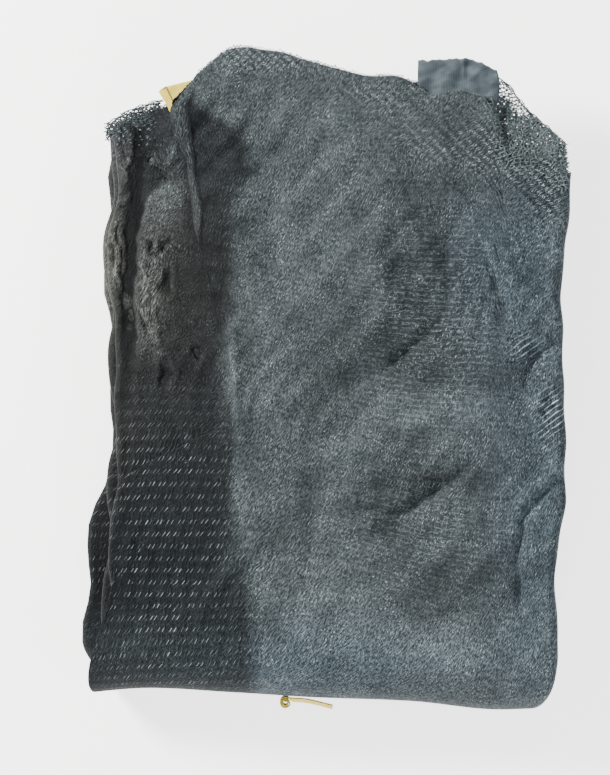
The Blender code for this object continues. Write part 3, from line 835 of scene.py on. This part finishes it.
def knitFinish(cells, name, look):
    # The strands' tone is pale * mottle * (1 - 0.45 pleats + ruffle): pale carries the painted
    # shade and painted highlights, the pleats are painted darker as shade in their folds, and the
    # ruffle is the pleats' streaks and knots and the ribs' crests, with the streaks and crests
    # painted paler as highlights on the ridges. Fibre covers the gaps, whose near-black is painted
    # shade of the plies below; the marks, painted sparkles, and the bright dashes, painted glints
    # on the rising legs, lie on it, and the bump is the sum of their heights.
    made, tree, use, flat, place = newFinish(name, look["roughness"], look["gloss"])
    waver = swayed(tree, flat, softNoise(tree, flat, 70.0, 1.5, "Color"), 0.0018)
    top = placeGroup(tree, cells, waver)
    uneasy = swayed(tree, waver, softNoise(tree, flat, 420.0, 2.0, "Color"), 0.0034)
    across = turned(tree, uneasy, 38.0, (0.0031, 0.0052))
    mesh = placeGroup(tree, cells, across, Wale=0.0042, Course=0.005, Strand=0.15, Bar=0.2)
    paintedLight, warm, opened, holes, pleats, rows, ribs = (
        readValue(tree, label) for label in ("paintedLight", "warm", "open", "holes", "pleats", "rows", "ribs")
    )
    patches, fine = softNoise(tree, place, 19.0, 3.5), softNoise(tree, place, 62.0, 3.0)
    small = softNoise(tree, flat, 190.0)
    grain = hatched(tree, waver, 55, (0.0034, 0.0011), 0.4, 0.64)
    fuzz = hatched(tree, waver, 108, (0.0022, 0.0009), 0.36, 0.7)
    dashes = evenRidges(tree, waver, 8.0, look["rowPitch"], 0.36) + 0.2
    dashes = dashes * hatched(tree, waver, -8, (0.0034, 0.0011), 0.4, 0.66)
    fibre = (grain * 0.6 + fuzz * 0.4) * (1.0 - rows) + dashes * rows
    streaks = hatched(tree, waver, 83, (0.012, 0.0019), 0.42, 0.58)
    knots = softNoise(tree, place, 230.0).scaled(5.0, -2.5).by("ABSOLUTE")
    crest = evenRidges(tree, waver, -27.0, look["ribPitch"], 0.24) * ribs * small.scaled(2.2, -0.1)
    ruffleAndHighlight = pleats * (streaks * 0.75 + knots * 0.35) + crest.scaled(1.9, ribs * -0.3)
    # painted shade and painted highlights: the pale map, mottled, darker in the pleats and paler on the
    # pleats' streaks and the ribs' crests
    uneven = paintedLight * (patches.scaled(1.3, 0.36) * small.scaled(1.1, 0.45))
    uneven = uneven * (pleats.scaled(-0.45, 1.0) + ruffleAndHighlight)
    strand = dimmed(tree, mixColours(tree, warm, look["blue"], look["brown"]), uneven)
    # where the fibre leaves the gaps open, their colour is painted shade
    cover = (fibre.scaled(0.8, 0.12) + top["Cloth"] * opened * 0.2).by("MAXIMUM", crest)
    cover = cover * (1.0 - holes * (0.9 - mesh["Cloth"] * 0.9))
    base = mixColours(tree, cover, look["gap"], strand)
    # painted sparkles: short pale marks in patches, and the fine mesh's rising legs
    marks = hatched(tree, waver, 62, (0.0024, 0.0008), 0.56, 0.78)
    marks = marks * fine.scaled(2.6, -0.85).by("MAXIMUM", 0.0) + holes * mesh["Slant"]
    base = mixColours(tree, marks.by("MINIMUM", 1.0), base, dimmed(tree, look["paintedSparkle"], uneven))
    # painted glints: bright dashes on the rising legs where the cells stand open, and dots on the fine mesh's
    # rising legs
    gleam = fine.scaled(2.0, -0.45).by("MAXIMUM", 0.1)
    spark = top["Slant"] * top["Cell"].scaled(0.75, 0.15) * gleam * opened
    paintedDotGlints = mesh["Cell"].scaled(3.4, -1.8).by("MAXIMUM", 0.0) * mesh["Slant"] * holes
    spark = spark.within(paintedDotGlints, 1.0)
    feed(tree, use["Base Color"], mixColours(tree, spark, base, look["paintedGlint"]))
    height = top["Height"] * (opened * 0.7) + fibre + mesh["Height"] * holes + ruffleAndHighlight * 2.2
    addBump(tree, use, height, look["depth"])
    return made


def wovenFinish(weave, name, look):
    # Worn patches between two tones, a painted highlight where the threads stand up, and an edge
    # colour: a painted highlight along the band's long edges, a painted shadow line on the webbing
    made, tree, use, flat, place = newFinish(name, look["roughness"], look["gloss"])
    threads = placeGroup(tree, weave, flat, Across=look["across"], Along=look["along"])["Height"]
    fuzz = softNoise(tree, place, 900.0)
    patches = hatched(tree, place, 20, look["patches"], 0.38, 0.64)
    worn = mixColours(tree, patches, look["deep"], look["plain"])
    # painted highlight on the raised threads
    thread = mixColours(tree, threads * 0.6, worn, look["light"])
    feed(tree, use["Base Color"], mixColours(tree, readValue(tree, "edge"), thread, look["edge"]))
    feed(tree, use["Roughness"], fuzz.scaled(0.18, look["roughness"] - 0.09))
    addBump(tree, use, threads + fuzz * 0.25, look["depth"])
    return made


def strandFinish(name, look):
    # Dark to pale by noise, dimmed to the least share at the far left, full from x = -0.07 on
    made, tree, use, _, place = newFinish(name, look["roughness"], look["gloss"])
    light = place.split()[0].scaled(12.0, 1.85).within(look["least"], 1.0)
    tone = softNoise(tree, place, look["patches"]) * light
    feed(tree, use["Base Color"], mixColours(tree, tone, look["deep"], look["plain"]))
    addBump(tree, use, softNoise(tree, place, look["grain"], 1.0), look["depth"])
    return made


weave, hatching = weaveGroup(), hatchGroup()
knitted = knitFinish(knitGroup(), "knittedNet", knitLook)
# its edge colour is a painted highlight along the band's long edges
bandCloth = wovenFinish(weave, "wovenBand", {
    "roughness": 0.62, "across": 0.0012, "along": 0.001, "patches": (0.011, 0.007), "depth": 0.0003,
    "gloss": 0.1, "deep": (0.018, 0.025, 0.03), "plain": (0.062, 0.08, 0.09),
    "light": (0.085, 0.105, 0.115), "edge": (0.095, 0.115, 0.125),
})
# its edge colour is a painted shadow line along the upper ply's edge
yellowCloth = wovenFinish(weave, "yellowWebbing", {
    "roughness": 0.66, "across": 0.0016, "along": 0.001, "patches": (0.014, 0.01), "depth": 0.00025,
    "gloss": 0.25, "deep": (0.38, 0.275, 0.026), "plain": (0.5, 0.375, 0.036),
    "light": (0.6, 0.47, 0.07), "edge": (0.1, 0.07, 0.012),
})
strandCloth = strandFinish("netStrands", {
    "roughness": 0.5, "gloss": 0.08, "least": 0.35, "patches": 260.0, "grain": 1500.0, "depth": 0.0002,
    "deep": (0.014, 0.019, 0.021), "plain": (0.175, 0.215, 0.222),
})
print("knit and weave drawn")

# Fine creases of the flap, as the broad ones, and its turned hem
fineCreases = {
    "flap": [
        (1.5, 1.1, 136, 20, 145, 26, 156, 31), (1.5, 1.1, 139, 16, 148, 23, 159, 25),
        (1.5, 1.0, 142, 10, 149, 18, 162, 20), (1.5, 1.3, 153, -13, 169, -4),
        (1.5, 1.3, 155, -19, 174, -10), (1.5, 1.3, 161, -27, 177, -18), (1.5, 1.2, 165, -32, 179, -25),
        (1.5, 1.1, 168, -40, 180, -31), (1.6, 1.2, 164, 5, 169, -5, 178, -16),
        (1.6, 1.2, 153, -12, 158, -21, 165, -30), (1.8, 1.2, 173, 42, 178, 27, 173, 14),
        (3.0, 1.5, -68, -31, -65, -56), (3.0, 1.2, -46, -117, -59, -136, -79, -159, -89, -178),
        (3.0, 1.0, -10, -142, -25, -158, -39, -172), (2.8, 0.9, -40, -183, -39, -218),
        (3.0, 2.0, 181, -54, 166, -70, 150, -86), (3.4, 0.9, 149, -102, 150, -127, 149, -152),
        (3.0, 1.0, 1, -235, 39, -236, 71, -233), (3.0, 1.4, 163, 5, 170, -8, 178, -18),
        (3.6, 0.9, 44, 196, 64, 183, 83, 174),
    ],
    "hem": {
        "y": [0.1, 0.108, 0.12, 0.163, 0.176, 0.19, 0.204, 0.212],
        "wide": [0.002, 0.005, 0.0072, 0.0074, 0.0125, 0.014, 0.01, 0.006],
    },
    "hemHeight": 0.0011,
}


def hemShape(x, y):
    # The turned hem down the flap's free edge, sqrt(sin) across its width, and the painted
    # shadow lines at its two sides
    wide = lookUp(fineCreases["hem"], "wide", y)
    share = (x - flapEdge(y)) / wide
    there = ease(y, 0.094, 0.108) * ease(y, 0.216, 0.206)
    hem = np.sqrt(np.sin(math.pi * np.clip(share, 0, 1))) * there
    inner = np.exp(-(((share - 1.06) * wide / 0.0016) ** 2))
    outer = np.exp(-(((share + 0.02) * wide / 0.0012) ** 2))
    return hem, (inner + 0.6 * outer) * there


def spread(count, pull=0.0):
    # Shares from 0 to 1, closer together at both ends where there is a pull
    even = np.linspace(0, 1, count)
    return even - pull * np.sin(2 * math.pi * even)


plySplit = 0.3  # share of the second layer's width that shows beside the flap
plyThickness = 0.0005
calmPlace = (-0.11, -0.15, 0.09, 0.09, 0.8)  # the cells' rows run straighter there
plyColumns = ("place", "upperRows", "runs", "seed", "endCut", "pull")
plies = {
    "net_ply_top": (1.0, 204, (122, 8, 7, 7, 7, 6), 0, 0.0, 0.0),
    "net_ply_2": (0.5, 60, (30, 26, 12, 12, 12, 12), 1, 0.0015, 0.0),
    "net_ply_3": (0.0, 60, (30, 26, 12, 12, 12, 12), 2, 0.003, 0.0),
    "net_ply_4": (-0.5, 80, (20, 50, 12, 12, 12, 12), 3, 0.001, 0.0),
    "net_ply_under": (-1.0, 178, (14, 134, 8, 8, 8, 8), 4, 0.002, 0.13),
}
plies = {name: dict(zip(plyColumns, row)) for name, row in plies.items()}
made = {}
for name, ply in plies.items():
    ply.update(lowerRows=26, bendRows=16, turnSteps=6, endWander=0.0012)
    ply["shares"] = [spread(count) for count in ply["runs"]]
    if name == "net_ply_top":
        ply["shares"][0] = spread(ply["runs"][0], 0.09)
    if ply["place"] < 0:
        beside = ply["runs"][1] * 5 // 6
        shown = np.linspace(0, plySplit, beside, endpoint=False)
        ply["shares"][1] = np.append(shown, np.linspace(plySplit, 1, ply["runs"][1] - beside))
    x, y, z, flatY, lift, onTop = clothGrid(ply)
    points = np.stack([x, y, z], axis=2)
    hem, hemShadowLines = np.zeros_like(x), np.zeros_like(x)
    if name == "net_ply_top":
        hem, hemShadowLines = [part * (onTop == 1) for part in hemShape(x, y)]
        fine = reliefOf(x, y, fineCreases["flap"], 0.0, 0.0, 0.08)
        lift = lift + fine * (onTop == 1) + hem * fineCreases["hemHeight"]
    normals = unit(np.cross(np.gradient(points, axis=1), np.gradient(points, axis=0)))
    points = points + normals * lift[:, :, None]
    steps = np.linalg.norm(np.diff(points, axis=1), axis=2)
    walked = np.concatenate([np.zeros((len(steps), 1)), np.cumsum(steps, axis=1)], axis=1)
    count = ply["runs"][0]
    left, right = points[:, :1, 0], points[:, count - 1 : count, 0]
    walked = walked - walked[:, count - 1 : count] * (0 - left) / (right - left)
    calm = 1 - bell(x, y, calmPlace)
    swayX = 0.01 * np.sin(x / 0.07 + 0.6) * np.sin(y / 0.11 + 0.4)
    swayY = 0.008 * np.sin(x / 0.052 + y / 0.12 + 0.8) * calm
    face = -1 if name == "net_ply_under" else 1
    flatX = face * walked + 0.31 * ply["seed"] + swayX
    flat = np.stack([flatX, flatY + 0.17 * ply["seed"] + swayY], axis=2)
    width = float(np.mean(walked[:, -1] - walked[:, 0]))
    length = float(np.mean(np.sum(np.linalg.norm(np.diff(points, axis=0), axis=2), axis=0)))
    piece = made[name] = gridObject(name, points, flat, knitted, plyThickness)
    values = tones(x, y, onTop)
    # painted shadow lines darken both sides of the hem, and the hem is paler
    values["paintedLight"] = np.clip(values["paintedLight"] * (1 - 0.6 * hemShadowLines) + 0.95 * hem, 0.12, 3.4)
    values["pleats"] = values["pleats"] * (onTop > 0) + 0.6 * hem
    values["ribs"] = values["ribs"] * ease(z, *toning["ribHeights"])
    for label in ("open", "holes", "rows"):
        values[label] = values[label] * (1 - hem)
    for label, value in values.items():
        addValues(piece, label, value)
    ply.update(points=points, width=width, length=length)
    print(f"{name}: {width:.3f} by {length:.3f} m, {len(piece.data.polygons)} faces")

rims = {
    "wale": 0.0027, "shortest": 0.0006, "longest": 0.0026, "radius": 0.00036, "seed": 11,
    "droop": (-0.0009, 0.0007), "foot": 0.0012, "ahead": 0.001,
}


def rimLoops(ends, before, seed):
    # One loop of strand a wale along an open end: out at one side, round, and back at the other
    chance = np.random.default_rng(seed)
    walked = walkedAlong(ends)
    spots = np.arange(rims["wale"] / 2, walked[-1], rims["wale"])

    def sampled(values, spots):
        return np.stack([np.interp(spots, walked, column) for column in values.T], axis=1)

    at = sampled(ends, spots)
    beside = unit(sampled(ends, spots + rims["ahead"]) - at)
    out = unit(sampled(ends - before, spots))
    reach = chance.uniform(rims["shortest"], rims["longest"], len(spots))[:, None, None]
    bow = chance.uniform(*rims["droop"], len(spots))[:, None, None]
    shape = np.array([
        [-0.5, -0.3, 0.04, 0.34, 0.5], [0.0, 0.55, 1.0, 0.62, 0.0],
        [1, 0, 0, 0, 1], [0.0, 0.2, 1.0, 0.3, 0.0],
    ])
    aside, away, foot, droop = shape[:, None, :, None]
    loops = at[:, None] + beside[:, None] * (aside * rims["wale"])
    loops = loops + out[:, None] * (away * reach - rims["foot"] * foot)
    return loops + np.array([0.0, 0.0, 1.0]) * (droop * bow)


for name, end, before, seed in (("net_rims_upper", -1, -2, 0), ("net_rims_lower", 0, 1, 20)):
    loops = [
        rimLoops(ply["points"][end], ply["points"][before], rims["seed"] + seed + ply["seed"])
        for ply in plies.values()
    ]
    made[name] = strandObject(name, np.concatenate(loops), rims["radius"], 3)
print("open ends finished with loops")

# Single plies that stand out past the rest, as strands. Each area has its ends across the
# bundle, its lift, its turn in degrees, its cut, how far it reaches under, and its kind: over
# the rest of the flap, plain, or fine.
openwork = {
    "areas": [
        (0.113, 0.1745, 0.0013, 14.0, -0.013, 0.015, "over"),
        (0.114, 0.1745, 0.0007, -37.0, -0.01, 0.012, "over"),
        (0.115, 0.1745, 0.0001, 62.0, -0.008, 0.01, "over"),
        (0.098, 0.1745, 0.0013, 4.0, 0.0005, 0.014, "plain"),
        (0.1, 0.174, 0.0004, 27.0, 0.002, 0.014, "plain"),
        (0.101, 0.1735, -0.0006, -22.0, 0.011, 0.014, "plain"),
        (0.102, 0.1735, 0.0016, 49.0, 0.015, 0.014, "fine"),
        (0.102, 0.1735, -0.0016, -51.0, 0.013, 0.014, "fine"),
        (0.102, 0.1735, -0.0024, 75.0, 0.017, 0.014, "fine"),
        (-0.1735, -0.133, 0.0013, 4.0, 0.0005, 0.009, "fine"),
        (-0.173, -0.133, 0.0005, 31.0, 0.001, 0.009, "fine"),
        (-0.1725, -0.133, -0.0004, -20.0, 0.0025, 0.009, "fine"),
    ],
    "radius": 0.0004,
    "wale": 0.0043,
    "course": 0.0058,
    "fine": 0.72,
    "lean": 0.42,
    "steps": 4,
    "uneven": 0.00048,
    "middle": 0.19,
    "bent": 0.0011,
    "sideGap": 0.0035,
    "droop": 0.35,
    "crossing": 0.06,
    "selvedge": {
        "stretches": [(-0.1725, -0.13), (0.1215, 0.174)],
        "step": 0.0013,
        "offsets": (0.0002, -0.0007, -0.0015),
    },
}


def openStrands(area, seed):
    # Legs x = wale * (n + lean * pingpong(y / course)), and bars between them where they turn,
    # bent by smooth waves and kept between the dense cloth's end and the ragged outline
    left, right, lift, degrees, cut, inside, kind = area
    wale, course, lean, steps = (openwork[label] for label in ("wale", "course", "lean", "steps"))
    if kind == "fine":
        wale, course = wale * openwork["fine"], course * openwork["fine"]
    chance = np.random.default_rng(seed + 40)
    rows, wales = np.arange(-30 * steps, 30 * steps), np.arange(-25, 26)
    swing = 1 - np.abs((rows / steps) % 1 * 2 - 1)
    size = (len(wales), len(rows))
    u = wale * (wales[:, None] + lean * swing) + chance.normal(0, openwork["uneven"], size)
    v = rows * course / steps + chance.normal(0, openwork["uneven"], size)
    grid = np.stack([u, v], axis=2)
    legs = np.stack([grid[:, :-1], grid[:, 1:]], axis=2).reshape(-1, 2, 2)
    ties = np.stack([grid[:-1, :: steps // 2], grid[1:, :: steps // 2]], axis=2).reshape(-1, 2, 2)
    u, v = np.moveaxis(np.concatenate([legs, ties]), 2, 0)
    angle = math.radians(degrees)
    x = u * math.cos(angle) - v * math.sin(angle) + (left + right) / 2
    y = u * math.sin(angle) + v * math.cos(angle) + openwork["middle"]
    bent = openwork["bent"]
    x, y = x + bent * np.sin(y / 0.0043 + 2 * seed), y + bent * np.sin(x / 0.0051 + seed)
    midX, midY = x.mean(axis=1), y.mean(axis=1)
    ragged = 0.0009 * np.sin(midX / 0.0021 + 3 * seed) + chance.normal(0, 0.0004, len(midX))
    over = kind == "over"
    edge = endY("flap" if over else "dense", midX)
    keep = (midX > left) & (midX < np.minimum(right, sideX("right", midY) - openwork["sideGap"]))
    keep &= midY > edge - inside * (1 + chance.uniform(-0.5, 0.3, len(midX)))
    outer = edge - cut if over else endY("second", midX) - cut * (0.12 + 0.88 * ease(midX, 0.15, 0.134))
    keep &= midY < outer + ragged
    x, y = x[keep], y[keep]
    sag = 0.0007 * np.sin(x / 0.012 + seed) * np.sin(y / 0.01)
    past = y - endY("flap", x)
    droop = openwork["droop"] * np.maximum(past, 0) if over else 0
    share = 1.0 if over else 0.8 * ease(past, 0.045, 0.004) * ease(x, 0.1215, 0.13)
    rise = layerRise[1] + (layerRise[0] - layerRise[1]) * share + 0 * x
    z = layerHeight(rise, x, y) + lift + sag - droop
    lines = np.stack([x, y, z], axis=2)
    return lines + (lines - lines[:, ::-1]) * openwork["crossing"]


def selvedge():
    # Strands side by side along the ragged outline, in short stretches that cross one another
    edge = openwork["selvedge"]
    lines = []
    for i, (offset, ends) in enumerate(itertools.product(edge["offsets"], edge["stretches"])):
        x = np.arange(*ends, edge["step"])
        y = endY("second", x) + offset + 0.0007 * np.sin(x / 0.0016 + 2.1 * i)
        z = layerHeight(np.full_like(x, layerRise[1]), x, y) + 0.0012 + 0.0004 * np.sin(x / 0.0013 + i)
        points = np.stack([x + 0.0004 * np.sin(x / 0.0011 + i), y, z], axis=1)
        lines.append(np.stack([points[:-1], points[1:]], axis=1))
    return np.concatenate(lines)


loose = [openStrands(area, seed) for seed, area in enumerate(openwork["areas"])] + [selvedge()]
made["net_openwork"] = strandObject("net_openwork", np.concatenate(loose), openwork["radius"])
print("openwork corner and rim laid:", len(made["net_openwork"].data.polygons), "faces")
for piece in made.values():
    dress(piece, "net")


def halfTurn(count):
    # Two straight plies joined by a half turn: its angles, and (1 - cos angle) / 2 all along
    # the strip, which is 0 in the lower ply and 1 in the upper one
    arc = np.linspace(0, math.pi, 9)[1:-1]
    angle = np.concatenate([np.zeros(count), arc, np.full(count, math.pi)])[:, None]
    return arc, (1 - np.cos(angle)) / 2


def onSecond(x, y, strap, radius, over):
    # Middle height of a strip on the second layer: half that layer, the gap, half the strip
    # and twice the turn's radius for the upper ply
    rise = strap["gap"] + strap["modelled"] / 2 + 2 * radius * over
    return layerHeight(np.full_like(x, layerRise[1]), x, y) + bundle["layerThickness"] / 2 + rise


def flatOf(across, along):
    # Flat sizes of every grid point as pairs
    return np.stack(np.broadcast_arrays(across, along), axis=2)


def layStrap(name, grid, strap, finish, node):
    # A strip with its painted edge light and shade in place of an imported solid, and its length
    points, flat, edge, length = grid
    made[name] = gridObject(name, points, flat, finish, strap["thickness"], True)
    addValues(made[name], "edge", edge)
    dress(made[name], node)
    return float(length)


# The dark band at the right of the open end, folded under at its right
band = {
    "left": 0.06, "right": 0.1245, "bottom": 0.204, "top": 0.2418, "corner": 0.0055, "lowCorner": 0.006,
    "under": 0.016, "slope": (0.095, 0.126, 0.0085), "crease": [(94, 243), (95, 229)],
    "thickness": 0.0009, "turnGap": 0.0009, "modelled": 0.0015, "gap": 0.0003,
}


def bandGrid():
    # Lower ply, a half turn and the upper ply; its fold leans back as share^2.4 at the top and
    # as (1 - share)^1.6 at the bottom
    radius = (band["modelled"] + band["turnGap"]) / 2
    straight = np.linspace(0, 1, 70)[:, None]
    arc, over = halfTurn(70)
    share = np.linspace(0, 1, 44)[None, :]
    fold = band["right"] - radius - band["corner"] * share**2.4 - band["lowCorner"] * (1 - share) ** 1.6
    start = band["left"] + band["under"]
    low = start + (fold - start) * straight
    high = band["left"] + (fold - band["left"]) * straight[::-1]
    x = np.concatenate([low, fold + radius * np.sin(arc)[:, None], high])
    first, last, fall = band["slope"]
    height = band["top"] - band["bottom"]
    y = band["bottom"] + height * share + 0.0012 * np.sin(x / 0.013) - share * fall * ease(x, first, last)
    y = y + over * 0.0008 * np.sin(x / 0.0041 + 1.0) * np.sin(x / 0.0013) * ease(share, 0.6, 1.0)
    away, _ = nearLine(x, y, band["crease"])
    puckers = 0.0007 * np.sin(x / 0.0052 + y / 0.004) * np.sin(y / 0.0063)
    puckers = puckers + 0.0009 * np.exp(-((away / 1.8) ** 2)) + 0.0006 * np.sin(x / 0.0031 - y / 0.0072)
    points = np.stack([x, y, onSecond(x, y, band, radius, over) + over * puckers], axis=2)
    walked = walkedAlong(points[:, 0])
    # painted highlight along both long edges
    edge = np.maximum(ease(share, 0.05, 0.0), ease(share, 0.955, 1.0)) + 0 * x
    return points, flatOf(walked[:, None], share * height), edge, walked[-1]


bandLength = layStrap("band_cloth", bandGrid(), band, bandCloth, "heading_band")

# The yellow webbing at the left, folded over at its tip
webbing = {
    "width": 0.025, "tip": (-0.1209, 0.219), "turn": -31.0, "length": 0.04, "skew": 0.0058, "slant": 0.0075,
    "thickness": 0.0011, "modelled": 0.0012, "plyGap": 0.0006, "gap": 0.0003,
}


def webbingGrid():
    # A strip that runs to its tip as the lower ply, turns round it and comes back
    radius = (webbing["modelled"] + webbing["plyGap"]) / 2
    straight = np.linspace(webbing["length"], 0, 40)
    arc, over = halfTurn(40)
    along = np.concatenate([straight, -radius * np.sin(arc), straight[::-1]])[:, None]
    share = np.linspace(-0.5, 0.5, 61)[None, :]
    wide = share * webbing["width"] + webbing["skew"] * (over - 0.5)
    wide = wide + 0.0004 * np.sin(along / 0.006 + 2 * over)
    turn = math.radians(webbing["turn"])
    x = webbing["tip"][0] + wide * math.cos(turn) - along * math.sin(turn)
    y = webbing["tip"][1] - wide * math.sin(turn) - along * math.cos(turn)
    fall = webbing["slant"] * (share + 0.5) * ease(along, 0.03, 0.0)
    x, y = x - fall * math.sin(turn), y - fall * math.cos(turn)
    points = np.stack([x, y, onSecond(x, y, webbing, radius, over)], axis=2)
    walked = walkedAlong(points[:, 30])
    # painted shadow: a dark line along the upper ply's left edge
    edge = ease(share, -0.43, -0.47) * over + 0 * x
    return points, flatOf(share * webbing["width"], walked[:, None]), edge, walked[-1]


webbingLength = layStrap("yellow_end", webbingGrid(), webbing, yellowCloth, "webbing_end")

# The short webbing on edge against the bend, with its left end rolled up
curl = {
    "radius": 0.0041, "inner": 0.0013, "turn": 770.0, "x": -0.0243, "lean": 0.004, "width": 0.014,
    "end": 0.0115, "flare": 0.0048, "thickness": 0.0011, "modelled": 0.0012, "gap": 0.0003,
}


def curlGrid():
    # A spiral x = start - r sin a, out = radius - r cos a, where r shrinks as it turns, then
    # along the bend with a slight flare
    off = curl["gap"] + curl["modelled"] / 2
    angles = np.radians(np.linspace(curl["turn"], 0, 76))
    grow = curl["radius"] + (curl["inner"] - curl["radius"]) * angles / angles[0]
    straight = np.linspace(curl["x"], curl["end"], 30)[1:]
    flare = curl["flare"] * ease(straight, curl["x"] + 0.012, curl["end"] + 0.01)
    x = np.concatenate([curl["x"] - grow * np.sin(angles), straight])[:, None]
    out = np.concatenate([curl["radius"] - grow * np.cos(angles), flare])[:, None]
    nearX = np.maximum(x, curl["x"])
    faceY = bendMiddle(nearX) - layerRise[0] - bundle["layerThickness"] / 2
    share = np.linspace(-0.5, 0.5, 14)[None, :]
    lean = curl["lean"] * (0.5 - share) * ease(x, curl["x"], curl["x"] + 0.006)
    z = layerHeight(np.zeros_like(x), nearX, faceY) + share * curl["width"]
    points = np.stack([x + 0 * share, faceY - off - out - lean, z], axis=2)
    walked = walkedAlong(points[:, 7])
    return points, flatOf(share * curl["width"], walked[:, None]), 0 * z, walked[-1]


curlLength = layStrap("yellow_curl", curlGrid(), curl, yellowCloth, "webbing_curl")
print("band and webbing ends laid")


# The camera looks straight down, turned as the bundle lies in the picture.
view = {"middle": (-0.0193, -0.0056), "height": 2.255, "turn": 1.8, "tall": 0.5836, "subject": 0.055}
camera = addObject("camera", bpy.data.cameras.new("camera"))
camera.location = (*view["middle"], view["height"])
camera.rotation_euler = (0.0, 0.0, math.radians(view["turn"]))
camera.data.lens = camera.data.sensor_width * (view["height"] - view["subject"]) / view["tall"]
bpy.context.scene.camera = camera


def softLight(name, place, aim, size, power, colour):
    # A square lamp turned towards its aim
    data = bpy.data.lights.new(name, "AREA")
    data.shape, data.size, data.energy, data.color = "SQUARE", size, power, colour
    lamp = addObject(name, data)
    lamp.location = place
    way = np.array(aim) - np.array(place)
    level = math.hypot(way[0], way[1])
    lamp.rotation_euler = (math.atan2(level, -way[2]), 0.0, math.atan2(way[1], way[0]) - math.pi / 2)


# Each lamp's name, place, aim, size, power and colour
for lamp in (
    ("keyLight", (-1.45, 0.75, 0.95), (0, 0, 0.04), 0.45, 135, (1.0, 0.99, 0.97)),
    ("fillLight", (1.4, -0.7, 1.1), (0, 0, 0.04), 1.2, 22, (0.95, 0.98, 1.0)),
    ("backLight", (0.5, 1.5, 0.8), (0, 0, 0.04), 1.0, 12, (1.0, 1.0, 1.0)),
    ("lowLight", (0.0, -1.6, 0.4), (0, -0.25, 0.04), 0.6, 30, (1.0, 1.0, 1.0)),
):
    softLight(*lamp)

room = {"Color": (0.95, 0.97, 1.0, 1.0), "Strength": 0.32}
world = bpy.data.worlds.new("paleRoom")
world.use_nodes = True
for label, value in room.items():
    world.node_tree.nodes["Background"].inputs[label].default_value = value
bpy.context.scene.world = world

ground = {"half": 4, "drop": 0.0004}
groundLook = {
    "Base Color": (0.88, 0.88, 0.87, 1.0), "Emission Color": (1.0, 1.0, 0.99, 1.0), "Emission Strength": 2.3,
}
corners = [(x * ground["half"], y * ground["half"], 0) for x, y in ((-1, -1), (1, -1), (1, 1), (-1, 1))]
floorMesh = bpy.data.meshes.new("floor")
floorMesh.from_pydata(corners, [], [(0, 1, 2, 3)])
floorObject = addObject("floor", floorMesh)
floorFinish, _, floorUse, _, _ = newFinish("paleFloor", 0.65)
for label, value in groundLook.items():
    floorUse[label].default_value = value
floorMesh.materials.append(floorFinish)
floorObject.location.z = -ground["drop"]
print("camera, lights and floor set")
